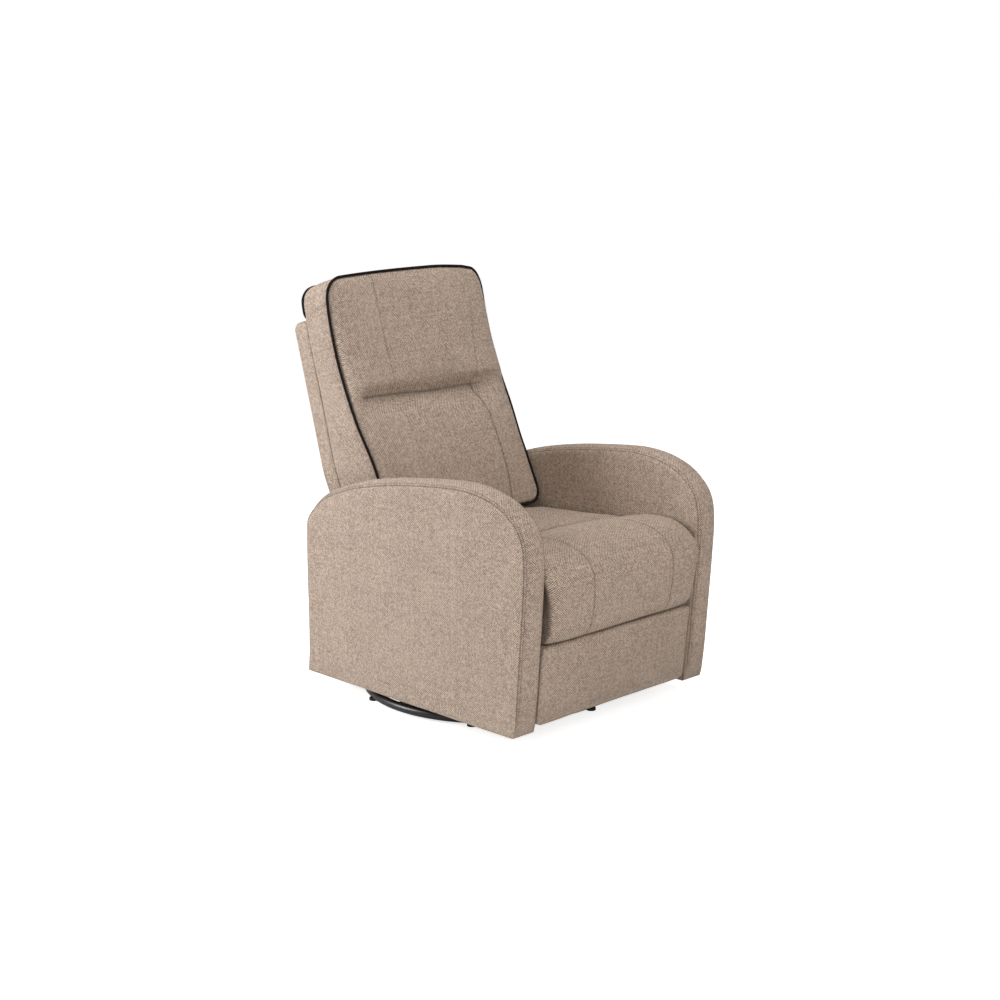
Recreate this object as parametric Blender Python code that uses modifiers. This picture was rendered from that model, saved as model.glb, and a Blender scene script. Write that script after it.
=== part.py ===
"""A pushback recliner on a swivel ring base.

The sitter faces -Y, +Z is up and the floor is at zero. Left and right are as
seen from the front. Places in the side view are (forward, up) pairs, where
forward is -Y.
"""
import math

import bmesh
import bpy
from mathutils import Matrix, Vector

# Clearances, in metres like every other size
GAP = 0.0003
RUNNING_PLAY = 0.0005
OPEN_PIVOT_PLAY = 0.002
OVERRUN = 0.010

# Ring base and its bearing
RING_BACK = 0.020
RING_RADIUS = 0.312
RING_TUBE_RADIUS = 0.011
RING_SEGMENTS = 48
GLIDE_COUNT = 6
GLIDE_FIRST_ANGLE = 37.0
GLIDE_HEIGHT = 0.006
GLIDE_RADIUS = 0.012
SPIDER_ARM_WIDTH = 0.045
SPIDER_HUB_RADIUS = 0.120
SPIDER_THICKNESS = 0.005
RACE_INNER_RADIUS = 0.070
RACE_OUTER_RADIUS = 0.108
RACE_THICKNESS = 0.006
BOLT_RADIUS = 0.007
BOLT_HEAD_RADIUS = 0.012
BOLT_HEAD_HEIGHT = 0.006
NUT_HEIGHT = 0.008

# Chassis
PLATE_SIDE = 0.260
PLATE_THICKNESS = 0.004
STRAP_SPACING = 0.210
STRAP_WIDTH = 0.036
STRAP_THICKNESS = 0.004
RAIL_SIZE = 0.025
RAIL_WALL = 0.002
RAIL_FRONT = 0.300
RAIL_REAR = -0.235
CROSS_TUBE_RADIUS = 0.011
CROSS_TUBE_WALL = 0.002
CROSS_TUBE_PLACE = (-0.150, 0.115)
REAR_PANEL_BACK = 0.300
REAR_PANEL_THICKNESS = 0.015
REAR_PANEL_LOW = 0.062
REAR_PANEL_HIGH = 0.235

# Arms: a board inside an upholstered cover
SEAT_SPACE = 0.526
ARM_THICKNESS = 0.071
ARM_FRONT = 0.425
ARM_REAR = -0.337
ARM_LOW = 0.0435
ARM_HIGH = 0.598
ARM_CROWN = 0.009
ARM_EDGE_DROP = 0.010
ARM_STATION_SHARES = (0.0, 0.055, 0.16, 0.32, 0.5, 0.68, 0.84, 0.945, 1.0)
ARM_LIFT_SHARE = 0.15
ARM_CROWN_POWERS = (2.5, 0.5)
ARM_BOARD_THICKNESS = 0.018
ARM_OUTLINE_SHARES = (
    (0.000, 0.000), (0.000, 0.330), (0.000, 0.630), (0.005, 0.705), (0.030, 0.750), (0.086, 0.820), (0.221, 0.897),
    (0.423, 0.957), (0.653, 0.995), (0.737, 1.000), (0.819, 0.989), (0.899, 0.955), (0.945, 0.913), (0.975, 0.870),
    (0.994, 0.810), (1.000, 0.708), (0.996, 0.589), (0.983, 0.345), (0.964, 0.055), (0.952, 0.000))
ARM_BOARD_SHARES = (
    (0.060, 0.000), (0.060, 0.640), (0.230, 0.780), (0.700, 0.880), (0.860, 0.850), (0.930, 0.700), (0.900, 0.000))

# Mechanism: link plates stacked outwards from the mechanism plate
LINK_SPACE = 0.0557
MECHANISM_PLATE = 0.003
LINK_THICKNESS = 0.003
LINK_SPACING = 0.001
LINK_HALF_WIDTH = 0.009
PIN_RADIUS = 0.004
SHAFT_RADIUS = 0.005
GUIDE_UP = 0.2430
TOWER_HALF_WIDTH = 0.022
MECHANISM_MARGIN = 0.016
MECHANISM_FRONT_FOOT = 0.275
MECHANISM_FRONT_RISE = 0.040
BACK_PIVOT = (-0.160, 0.300)
RECLINE_DEGREES = 28.0
DRIVE_ARM = 0.090
REAR_PIVOT = (0.315, 0.231)
CONTROL_PIVOT = (0.271, 0.2295)
FRONT_LINK_PIVOT = (0.2265, 0.0795)
CONTROL_LINK_PIVOT = (0.1855, 0.074)
CONTROL_BEND = (0.235, 0.199)
UPPER_LINK_PIVOT = (0.194, 0.0905)
FOOTREST_PIVOT = (0.3545, 0.2285)
FOOTREST_UPPER_PIVOT = (0.300, 0.2305)
ARC_STEPS = 6
HOLE_SIDES = 14

# Seat
BRACKET_THICKNESS = 0.0025
BRACKET_INNER_WIDTH = 0.035
BRACKET_DEPTH = 0.040
BRACKET_FRONT = 0.330
BRACKET_REAR = -0.130
BRACKET_LEG_FRONT = 0.260
DRIVE_LEG_FRONT = -0.080
DRIVE_LEG_MARGIN = 0.016
DRIVE_SLOT_PLAY = 0.0012
SEAT_RAIL_WIDTH = 0.040
SEAT_RAIL_HEIGHT = 0.030
SEAT_CROSS_RAIL = 0.025
SEAT_FRAME_FRONT = 0.360
SEAT_FRAME_REAR = -0.115
SPRING_COUNT = 4
SPRING_WIRE_RADIUS = 0.0018
SPRING_WAVES = 7
SPRING_HALF_WIDTH = 0.022
SEAT_SIDE_GAP = 0.006
SEAT_FRONT = 0.458
SEAT_REAR = -0.125
SEAT_LIP_UP = 0.2507
SEAT_TOP_UP = 0.458
SEAT_SIDE_INSET = 0.016
SEAT_INSET_SHARE = 0.3
SEAT_SIDE_POWERS = (6, 0.5)
SEAM_OFFSET = 0.140
SEAM_DEPTH = 0.004
SEAM_HALF_WIDTH = 0.014
SEAT_OUTLINE_SHARES = (
    (0.000, 0.640), (0.025, 0.765), (0.180, 0.815), (0.400, 0.850), (0.560, 0.890), (0.620, 0.925), (0.700, 0.975),
    (0.830, 1.000), (0.915, 0.960), (0.975, 0.845), (1.000, 0.670), (0.996, 0.450), (0.980, 0.240), (0.955, 0.075),
    (0.925, 0.000), (0.875, 0.000), (0.846, 0.055))

# Back: the shell's rear face leans, and places are along it and forward of it
BACK_FOOT = (-0.2696, 0.250)
BACK_LEAN_DEGREES = 16.0
SHELL_LENGTH = 0.683
SHELL_DEPTH = 0.052
SHELL_WALL = 0.010
SHELL_SIDE_GAP_LOW = 0.013
SHELL_SIDE_GAP_HIGH = 0.003
SHELL_CORNER = 0.016
SHELL_WIDENS_SHARES = (0.30, 0.46)
SHELL_STATION_SHARES = (-1.0, -0.985, -0.95, 0.95, 0.985, 1.0)
UPRIGHT_WIDTH = 0.030
UPRIGHT_LOW = 0.020
BACK_RAIL_WIDTH = 0.040
BACK_RAIL_LOW = 0.190
BACK_BRACKET = 0.004
BACK_BOSS_RADIUS = 0.014
BRACKET_REACH = 0.160
CUSHION_FOOT_GAP = 0.0129
CUSHION_FOOT_RISE = 0.057
SEAT_UNDER_BACK_SHARE = 0.778
CUSHION_FRONT_HIGH = 0.760
CUSHION_REAR_HIGH = 0.756
CUSHION_DEPTH = 0.171
CUSHION_DEPTH_SHARES = (
    (0.00, 1.000), (0.22, 0.857), (0.34, 0.764), (0.52, 0.623), (0.71, 0.536), (0.89, 0.560), (1.00, 0.640))
CUSHION_SIDE_GAP = 0.0005
CUSHION_SPREAD = 0.008
CUSHION_REAR_INSET = 0.012
CUSHION_WIDENS_SHARES = (0.25, 0.34)
PANEL_POWERS = (6, 0.5)
SECTION_POWERS = (3, 0.6)
CUSHION_BULGE = 0.048
CUSHION_CORNER_HIGH = 0.055
CUSHION_CORNER_LOW = 0.028
CUSHION_TOP_CROWN = 0.008
CUSHION_TOP_POWERS = (2.2, 1)
CREASE_SHARE = 0.536
CREASE_HALF_WIDTH_SHARE = 0.035
CREASE_DEPTH_SHARE = 0.62
PIPING_RADIUS = 0.0038
REAR_PIPING_START = 0.700

# Footrest
FOOTREST_BOARD_BACK = 0.3650
FOOTREST_BOARD_THICKNESS = 0.012
FOOTREST_PAD_THICKNESS = 0.039
FOOTREST_CROWN = 0.005
FOOTREST_SIDE_GAP = 0.0035
FOOTREST_CROWN_POWERS = (2, 1)
FOOTREST_LOW = 0.056
FOOTREST_HIGH = 0.244
FOOTREST_LEAN = 0.022
FOOTREST_EDGE_RADIUS = 0.009
FOOTREST_BOARD_INSET = 0.012
FLANGE_WIDTH = 0.022
FLANGE_THICKNESS = 0.003
FLANGE_DROP = 0.052

# Heights of the base's stack
RING_UP = GLIDE_HEIGHT + GAP + RING_TUBE_RADIUS
SPIDER_LOW = RING_UP - SPIDER_THICKNESS / 2
LOWER_RACE_LOW = SPIDER_LOW + SPIDER_THICKNESS + GAP
UPPER_RACE_LOW = LOWER_RACE_LOW + RACE_THICKNESS + GAP
PLATE_LOW = UPPER_RACE_LOW + RACE_THICKNESS + GAP
STRAP_LOW = PLATE_LOW + PLATE_THICKNESS + GAP
RAIL_LOW = STRAP_LOW + STRAP_THICKNESS + GAP

# Places across the chair, worked inwards from the arms
ARM_INNER = SEAT_SPACE / 2
ARM_OUTER = ARM_INNER + ARM_THICKNESS
SEAT_HALF_WIDTH = ARM_INNER - SEAT_SIDE_GAP
SHELL_HALF_WIDTH_LOW = ARM_INNER - SHELL_SIDE_GAP_LOW
SHELL_HALF_WIDTH_HIGH = ARM_INNER - SHELL_SIDE_GAP_HIGH
PIPING_OUT = PIPING_RADIUS + 2 * GAP
CUSHION_HALF_WIDTH_LOW = ARM_INNER - CUSHION_SIDE_GAP - PIPING_RADIUS - PIPING_OUT
CUSHION_HALF_WIDTH_HIGH = CUSHION_HALF_WIDTH_LOW + CUSHION_SPREAD
FOOTREST_HALF_WIDTH = ARM_INNER - FOOTREST_SIDE_GAP
MECHANISM_OUT = ARM_INNER - LINK_SPACE
MECHANISM_IN = MECHANISM_OUT - MECHANISM_PLATE
RAIL_OUT = MECHANISM_IN - GAP
BRACKET_LEG_OUT = MECHANISM_OUT + GAP + BRACKET_THICKNESS
BACK_BRACKET_IN = BRACKET_LEG_OUT + LINK_SPACING
UPRIGHT_OUT = BACK_BRACKET_IN - GAP
SEAT_RAIL_LOW = GUIDE_UP + 2 * GAP + BRACKET_THICKNESS
SEAT_RAIL_TOP = SEAT_RAIL_LOW + SEAT_RAIL_HEIGHT
SEAT_CUSHION_LOW = SEAT_RAIL_TOP + 2 * GAP + 2 * SPRING_WIRE_RADIUS
SEAT_RAIL_OUT = MECHANISM_OUT + BRACKET_THICKNESS
PAD_BACK = FOOTREST_BOARD_BACK + FOOTREST_BOARD_THICKNESS + GAP
FRAME_DEPTH_LOW = SHELL_WALL + GAP
FRAME_DEPTH_HIGH = SHELL_DEPTH - GAP

LINK_PITCH = LINK_THICKNESS + LINK_SPACING
CONTROL_LAYER, FRONT_LAYER, REAR_LAYER, UPPER_LAYER, BRACKET_LAYER = range(5)

# Where the soft forms have their rows, as shares of their half width and height
SOFT_STATION_SHARES = (-1.0, -0.96, -0.88, -0.74, -0.60, -0.54, -0.48, -0.25, 0.0, 0.25, 0.48, 0.54, 0.60, 0.74, 0.88,
                       0.96, 1.0)
CUSHION_ROW_SHARES = (0.0, 0.03, 0.09, 0.20, 0.34, 0.45, 0.505, 0.536, 0.567, 0.63, 0.75, 0.88, 0.96, 1.0)
PAD_STATION_SHARES = (-1.0, -0.99, -0.965, -0.8, -0.4, 0.0, 0.4, 0.8, 0.965, 0.99, 1.0)
PAD_ROW_SHARES = (0.0, 0.014, 0.048, 0.25, 0.50, 0.75, 0.952, 0.986, 1.0)

SIDES = (("left", -1), ("right", 1))
LEAN = math.radians(BACK_LEAN_DEGREES)
SEAT_UNDER_BACK_UP = SEAT_LIP_UP + SEAT_UNDER_BACK_SHARE * (SEAT_TOP_UP - SEAT_LIP_UP)
CUSHION_FRONT_LOW = (SEAT_UNDER_BACK_UP + CUSHION_FOOT_GAP - BACK_FOOT[1]
                     - (SHELL_DEPTH + CUSHION_DEPTH) * math.sin(LEAN)) / math.cos(LEAN)
CUSHION_REAR_LOW = CUSHION_FRONT_LOW + CUSHION_FOOT_RISE
ALONG_BACK = Vector((0, math.sin(LEAN), math.cos(LEAN)))
BACK_TO_FRONT = Vector((0, -math.cos(LEAN), math.sin(LEAN)))
BACK_START = Vector((0, -BACK_FOOT[0], BACK_FOOT[1]))

for old in list(bpy.data.objects):
    bpy.data.objects.remove(old, do_unlink=True)
parts = bpy.data.collections.new("pushback_recliner")
cutters = bpy.data.collections.new("cutters")
bpy.context.scene.collection.children.link(parts)
bpy.context.scene.collection.children.link(cutters)


def material(name, colour, roughness, metallic=0.0):
    """Make a Principled material."""
    made = bpy.data.materials.new(name)
    made.use_nodes = True
    shader = made.node_tree.nodes["Principled BSDF"]
    shader.inputs["Base Color"].default_value = (*colour, 1.0)
    shader.inputs["Roughness"].default_value = roughness
    shader.inputs["Metallic"].default_value = metallic
    return made


FABRIC = material("woven fabric", (0.42, 0.34, 0.27), 0.95)
PIPING = material("dark piping", (0.03, 0.02, 0.017), 0.7)
BLACK_STEEL = material("black painted steel", (0.012, 0.012, 0.013), 0.35, 0.2)
ZINC_STEEL = material("zinc plated steel", (0.62, 0.62, 0.60), 0.35, 1.0)
SPRING_STEEL = material("spring steel", (0.25, 0.25, 0.26), 0.4, 1.0)
WOOD = material("frame wood", (0.62, 0.45, 0.28), 0.8)
PLASTIC = material("glide plastic", (0.02, 0.02, 0.02), 0.5)


def add_mesh(name, mesh, look, collection=parts):
    """Put a mesh in the scene as a named object with its faces outwards."""
    shape = bmesh.new()
    shape.from_mesh(mesh)
    bmesh.ops.recalc_face_normals(shape, faces=shape.faces)
    shape.to_mesh(mesh)
    shape.free()
    mesh.materials.clear()
    mesh.materials.append(look)
    thing = bpy.data.objects.new(name, mesh)
    collection.objects.link(thing)
    return thing


def box(name, low, high, look, turn=None):
    """Make a box between two corners, then turn it if asked."""
    low, high = Vector(low), Vector(high)
    size = high - low
    shape = bmesh.new()
    place = Matrix.Translation((low + high) / 2) @ Matrix.Diagonal((*size, 1))
    if turn:
        place = turn @ place
    bmesh.ops.create_cube(shape, size=1.0, matrix=place)
    mesh = bpy.data.meshes.new(name)
    shape.to_mesh(mesh)
    shape.free()
    return add_mesh(name, mesh, look)


def rod(name, start, end, radius, look, sides=HOLE_SIDES):
    """Make a cylinder between two places."""
    start, end = Vector(start), Vector(end)
    shape = bmesh.new()
    turn = (end - start).to_track_quat("Z", "Y").to_matrix().to_4x4()
    bmesh.ops.create_cone(shape, cap_ends=True, segments=sides, radius1=radius, radius2=radius,
                          depth=(end - start).length, matrix=Matrix.Translation((start + end) / 2) @ turn)
    mesh = bpy.data.meshes.new(name)
    shape.to_mesh(mesh)
    shape.free()
    return add_mesh(name, mesh, look)


def combine(target, tool, operation):
    """Cut or join the target with a tool that stays hidden."""
    parts.objects.unlink(tool)
    cutters.objects.link(tool)
    tool.hide_render = True
    tool.display_type = "WIRE"
    boolean = target.modifiers.new(operation.lower(), "BOOLEAN")
    boolean.operation = operation
    boolean.object = tool


def turned(name, profile, look, steps=HOLE_SIDES * 2):
    """Turn a profile of (radius, up) points about the ring's centre."""
    mesh = bpy.data.meshes.new(name)
    edges = [(i, i + 1) for i in range(len(profile) - 1)]
    if profile[0][0] > 0:
        edges.append((len(profile) - 1, 0))
    mesh.from_pydata([(radius, 0, up) for radius, up in profile], edges, [])
    mesh.materials.append(look)
    thing = bpy.data.objects.new(name, mesh)
    parts.objects.link(thing)
    thing.location = (0, RING_BACK, 0)
    screw = thing.modifiers.new("turn", "SCREW")
    screw.steps = screw.render_steps = steps
    screw.use_merge_vertices = True
    screw.merge_threshold = 0.00001
    screw.use_smooth_shade = True
    return thing


def disc(name, inner, outer, low, thickness, look, steps=HOLE_SIDES * 2):
    """Turn a flat ring."""
    high = low + thickness
    return turned(name, [(outer, high), (outer, low), (inner, low), (inner, high)], look, steps)


def flat(name, outline, x_low, x_high, look, holes=()):
    """Extrude a side-view outline of (forward, up) points across the chair."""
    curve = bpy.data.curves.new(name, "CURVE")
    curve.dimensions = "2D"
    curve.fill_mode = "BOTH"
    curve.extrude = abs(x_high - x_low) / 2
    for ring in (outline, *holes):
        spline = curve.splines.new("POLY")
        spline.points.add(len(ring) - 1)
        for point, (forward, up) in zip(spline.points, ring):
            point.co = (forward, up, 0, 1)
        spline.use_cyclic_u = True
    guide = bpy.data.objects.new(name, curve)
    guide.matrix_world = Matrix(((0, 0, -1, (x_low + x_high) / 2), (-1, 0, 0, 0), (0, 1, 0, 0), (0, 0, 0, 1)))
    parts.objects.link(guide)
    return curve_to_mesh(guide, name, look)


def curve_to_mesh(guide, name, look):
    """Swap a curve object for a welded mesh in the same place."""
    bpy.context.view_layer.update()
    seen = guide.evaluated_get(bpy.context.evaluated_depsgraph_get())
    mesh = bpy.data.meshes.new_from_object(seen)
    shape = bmesh.new()
    shape.from_mesh(mesh)
    bmesh.ops.remove_doubles(shape, verts=shape.verts, dist=0.00001)
    bmesh.ops.transform(shape, matrix=guide.matrix_world, verts=shape.verts)
    shape.to_mesh(mesh)
    shape.free()
    bpy.data.objects.remove(guide, do_unlink=True)
    mesh.name = name
    return add_mesh(name, mesh, look)


def tube(name, points, radius, look, closed=False, roundness=1):
    """Run a round tube along points."""
    curve = bpy.data.curves.new(name, "CURVE")
    curve.dimensions = "3D"
    curve.bevel_depth = radius
    curve.bevel_resolution = roundness
    curve.use_fill_caps = not closed
    spline = curve.splines.new("POLY")
    spline.points.add(len(points) - 1)
    for point, place in zip(spline.points, points):
        point.co = (*place, 1)
    spline.use_cyclic_u = closed
    curve.materials.append(look)
    thing = bpy.data.objects.new(name, curve)
    parts.objects.link(thing)
    return thing


def loft(name, rows, look):
    """Skin rows of points across the chair and close both ends with rungs."""
    shape = bmesh.new()
    rings = [[shape.verts.new(point) for point in row] for row in rows]
    count = len(rings[0])
    for near, far in zip(rings, rings[1:]):
        for i in range(count):
            j = (i + 1) % count
            shape.faces.new((near[i], near[j], far[j], far[i]))
    for ring in (rings[0], rings[-1]):
        i, j = 0, count - 1
        while j - i > 1:
            corners = (ring[i], ring[i + 1], ring[j - 1], ring[j]) if j - i > 2 else (ring[i], ring[i + 1], ring[j])
            shape.faces.new(corners)
            i, j = i + 1, j - 1
    mesh = bpy.data.meshes.new(name)
    shape.to_mesh(mesh)
    shape.free()
    return add_mesh(name, mesh, look)


def circle(centre, radius, sides=HOLE_SIDES):
    """Points of a circle in the side view."""
    return [(centre[0] + radius * math.cos(math.tau * i / sides), centre[1] + radius * math.sin(math.tau * i / sides))
            for i in range(sides)]


def hull(points):
    """Convex outline of side-view points, anticlockwise."""
    points = sorted(set(points))
    halves = []
    for line in (points, points[::-1]):
        half = []
        for point in line:
            while len(half) > 1 and cross(half[-2], half[-1], point) <= 0:
                half.pop()
            half.append(point)
        halves.append(half[:-1])
    return halves[0] + halves[1]


def cross(a, b, c):
    """Twice the signed area of a triangle."""
    return (b[0] - a[0]) * (c[1] - a[1]) - (b[1] - a[1]) * (c[0] - a[0])


def rounded(centres, radius=LINK_HALF_WIDTH):
    """Outline that wraps round bosses at the given centres."""
    return hull([point for centre in centres for point in circle(centre, radius, 2 * ARC_STEPS)])


def grown(outline, margin):
    """Move each edge of a convex anticlockwise outline outwards."""
    made = []
    for i, here in enumerate(outline):
        before, after = Vector(outline[i - 1]), Vector(outline[(i + 1) % len(outline)])
        here = Vector(here)
        first, second = (here - before).normalized(), (after - here).normalized()
        first_out, second_out = Vector((first.y, -first.x)), Vector((second.y, -second.x))
        shift = (first_out + second_out) / (1 + first_out.dot(second_out))
        made.append(tuple(here + shift * margin))
    return made


def strip(path, radius=LINK_HALF_WIDTH):
    """Outline of a bent bar with round ends, anticlockwise."""
    made = []
    for line in (path, path[::-1]):
        points = [Vector(point) for point in line]
        run = points[1] - points[0]
        start = math.atan2(run.y, run.x) + math.pi / 2
        for i in range(ARC_STEPS + 1):
            angle = start + math.pi * i / ARC_STEPS
            made.append((points[0].x + radius * math.cos(angle), points[0].y + radius * math.sin(angle)))
        for before, here, after in zip(points, points[1:], points[2:]):
            first, second = (here - before).normalized(), (after - here).normalized()
            shift = Vector((first.y + second.y, -first.x - second.x)) / (1 + first.dot(second))
            made.append(tuple(here + shift * radius))
    return made


def blend(shares, where):
    """Read a table of (where, value) pairs along straight lines."""
    for (low, start), (high, end) in zip(shares, shares[1:]):
        if where <= high:
            part = max(0.0, (where - low) / (high - low))
            return start + (end - start) * part
    return shares[-1][1]


def smooth_step(low, high, where):
    """Rise from zero to one between two values."""
    part = min(1.0, max(0.0, (where - low) / (high - low)))
    return part * part * (3 - 2 * part)


def puff(share, power=2.6, edge=0.75):
    """Height of a stuffed panel across a share from minus one to one."""
    return (1 - min(1.0, abs(share)) ** power) ** edge


def dip(where, centre, half_width):
    """A smooth groove, one at its centre."""
    return math.exp(-((where - centre) / half_width) ** 2)


def at(place, x=0.0):
    """World place of a side-view place."""
    return Vector((x, -place[0], place[1]))


def layer(number):
    """Inner and outer distance of a link layer, counted outwards."""
    inner = MECHANISM_OUT + LINK_SPACING + number * LINK_PITCH
    return inner, inner + LINK_THICKNESS


def pin(place, side, first, last, radius=PIN_RADIUS, name="pin"):
    """A rivet through the layers from one distance to another."""
    return rod(name, at(place, side * first), at(place, side * last), radius, ZINC_STEEL)


def add_pin(target, place, side, first, last):
    """Join a pin to a link, through the layers from one to another."""
    rivet = pin(place, side, layer(first)[0], layer(last)[1], name=f"{target.name}_pin")
    combine(target, rivet, "UNION")


def link(name, side, number, outline, holes):
    """A link plate in a layer, with round holes."""
    inner, outer = layer(number)
    rings = [circle(place, radius) for place, radius in holes]
    return flat(name, outline, side * inner, side * outer, ZINC_STEEL, rings)


def hole(place, play=RUNNING_PLAY, radius=PIN_RADIUS):
    """A clearance hole round a pin."""
    return place, radius + play


def make_base():
    """The ring, its spider and glides, the lower race and the bolt."""
    angles = [math.tau * i / RING_SEGMENTS for i in range(RING_SEGMENTS)]
    ring = tube("base_ring", [ring_place(angle, RING_UP) for angle in angles], RING_TUBE_RADIUS, BLACK_STEEL,
                closed=True, roundness=2)
    half = SPIDER_ARM_WIDTH / 2
    inner = (RING_RADIUS - RING_TUBE_RADIUS) * math.cos(math.pi / RING_SEGMENTS) - GAP
    reach = math.sqrt(inner ** 2 - half ** 2)
    high = SPIDER_LOW + SPIDER_THICKNESS
    spider = box("base_spider", (-reach, RING_BACK - half, SPIDER_LOW), (reach, RING_BACK + half, high), BLACK_STEEL)
    bar = box("spider_bar", (-half, RING_BACK - reach, SPIDER_LOW), (half, RING_BACK + reach, high), BLACK_STEEL)
    hub = rod("spider_hub", (0, RING_BACK, SPIDER_LOW), (0, RING_BACK, high), SPIDER_HUB_RADIUS, BLACK_STEEL, 32)
    combine(spider, bar, "UNION")
    combine(spider, hub, "UNION")
    combine(spider, bolt_hole("spider_hole", SPIDER_LOW, high, GAP), "DIFFERENCE")
    made = [ring, spider]
    for i in range(GLIDE_COUNT):
        angle = math.radians(GLIDE_FIRST_ANGLE) + math.tau * i / GLIDE_COUNT
        made.append(rod(f"glide_{i + 1}", ring_place(angle, 0), ring_place(angle, GLIDE_HEIGHT), GLIDE_RADIUS,
                        PLASTIC, 12))
    made.append(disc("lower_race", RACE_INNER_RADIUS, RACE_OUTER_RADIUS, LOWER_RACE_LOW, RACE_THICKNESS, ZINC_STEEL))
    head = PLATE_LOW + PLATE_THICKNESS + GAP
    nut = SPIDER_LOW - GAP
    made.append(turned("pivot_bolt", [
        (0, head + BOLT_HEAD_HEIGHT), (BOLT_HEAD_RADIUS, head + BOLT_HEAD_HEIGHT), (BOLT_HEAD_RADIUS, head),
        (BOLT_RADIUS, head), (BOLT_RADIUS, nut), (BOLT_HEAD_RADIUS, nut), (BOLT_HEAD_RADIUS, nut - NUT_HEIGHT),
        (0, nut - NUT_HEIGHT)], ZINC_STEEL, HOLE_SIDES))
    return made


def ring_place(angle, up):
    """A place on the ring's centre line."""
    return Vector((RING_RADIUS * math.cos(angle), RING_BACK + RING_RADIUS * math.sin(angle), up))


def bolt_hole(name, low, high, play):
    """A cutter for the pivot bolt's hole."""
    return rod(name, (0, RING_BACK, low - OVERRUN), (0, RING_BACK, high + OVERRUN), BOLT_RADIUS + play, BLACK_STEEL, 24)


def make_chassis():
    """What turns on the base: plate, straps, rails, mechanism plates, arms and rear panel."""
    half = PLATE_SIDE / 2
    high = PLATE_LOW + PLATE_THICKNESS
    plate = box("swivel_plate", (-half, RING_BACK - half, PLATE_LOW), (half, RING_BACK + half, high), BLACK_STEEL)
    combine(plate, bolt_hole("plate_hole", PLATE_LOW, high, RUNNING_PLAY), "DIFFERENCE")
    made = [plate, disc("upper_race", RACE_INNER_RADIUS, RACE_OUTER_RADIUS, UPPER_RACE_LOW, RACE_THICKNESS,
                        ZINC_STEEL)]
    reach = ARM_OUTER - ARM_BOARD_THICKNESS
    for name, sign in (("front", -1), ("rear", 1)):
        middle = RING_BACK + sign * STRAP_SPACING / 2
        made.append(box(f"strap_{name}", (-reach, middle - STRAP_WIDTH / 2, STRAP_LOW),
                        (reach, middle + STRAP_WIDTH / 2, STRAP_LOW + STRAP_THICKNESS), BLACK_STEEL))
    cross_tube = rod("rear_cross_tube", at(CROSS_TUBE_PLACE, GAP - MECHANISM_IN), at(CROSS_TUBE_PLACE, MECHANISM_IN - GAP),
                     CROSS_TUBE_RADIUS, BLACK_STEEL)
    bore = rod("cross_tube_bore", at(CROSS_TUBE_PLACE, -ARM_INNER), at(CROSS_TUBE_PLACE, ARM_INNER),
               CROSS_TUBE_RADIUS - CROSS_TUBE_WALL, BLACK_STEEL)
    combine(cross_tube, bore, "DIFFERENCE")
    panel_half = ARM_INNER - GAP
    made += [cross_tube, box("rear_panel", (-panel_half, REAR_PANEL_BACK, REAR_PANEL_LOW),
                             (panel_half, REAR_PANEL_BACK + REAR_PANEL_THICKNESS, REAR_PANEL_HIGH), FABRIC)]
    for side, sign in SIDES:
        made += [make_rail(side, sign), make_mechanism_plate(side, sign), make_back_bolt(side, sign)]
        made += make_arm(side, sign)
    return made


def make_rail(side, sign):
    """A box-section rail along the mechanism plate's foot."""
    ends = sorted((sign * RAIL_OUT, sign * (RAIL_OUT - RAIL_SIZE)))
    rail = box(f"base_rail_{side}", (ends[0], -RAIL_FRONT, RAIL_LOW), (ends[1], -RAIL_REAR, RAIL_LOW + RAIL_SIZE),
               BLACK_STEEL)
    bore = box(f"rail_bore_{side}", (ends[0] + RAIL_WALL, -RAIL_FRONT - OVERRUN, RAIL_LOW + RAIL_WALL),
               (ends[1] - RAIL_WALL, -RAIL_REAR + OVERRUN, RAIL_LOW + RAIL_SIZE - RAIL_WALL), BLACK_STEEL)
    combine(rail, bore, "DIFFERENCE")
    return rail


def make_mechanism_plate(side, sign):
    """The plate that guides the seat and carries the linkage and the back."""
    tower_front = BACK_PIVOT[0] + TOWER_HALF_WIDTH
    tower_rear = BACK_PIVOT[0] - TOWER_HALF_WIDTH
    tower_top = BACK_PIVOT[1] + TOWER_HALF_WIDTH
    nose = REAR_PIVOT[0] + MECHANISM_MARGIN
    outline = [(tower_rear, RAIL_LOW), (MECHANISM_FRONT_FOOT, RAIL_LOW),
               (MECHANISM_FRONT_FOOT, RAIL_LOW + MECHANISM_FRONT_RISE), (nose, REAR_PIVOT[1] - MECHANISM_MARGIN),
               (nose, GUIDE_UP), (tower_front, GUIDE_UP), (tower_front, tower_top), (tower_rear, tower_top)]
    holes = [circle(REAR_PIVOT, SHAFT_RADIUS + RUNNING_PLAY), circle(BACK_PIVOT, SHAFT_RADIUS + GAP)]
    plate = flat(f"mechanism_plate_{side}", outline, sign * MECHANISM_IN, sign * MECHANISM_OUT, BLACK_STEEL, holes)
    rivet = pin(CONTROL_PIVOT, sign, MECHANISM_IN, layer(CONTROL_LAYER)[1], name=f"control_pin_{side}")
    combine(plate, rivet, "UNION")
    return plate


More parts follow.
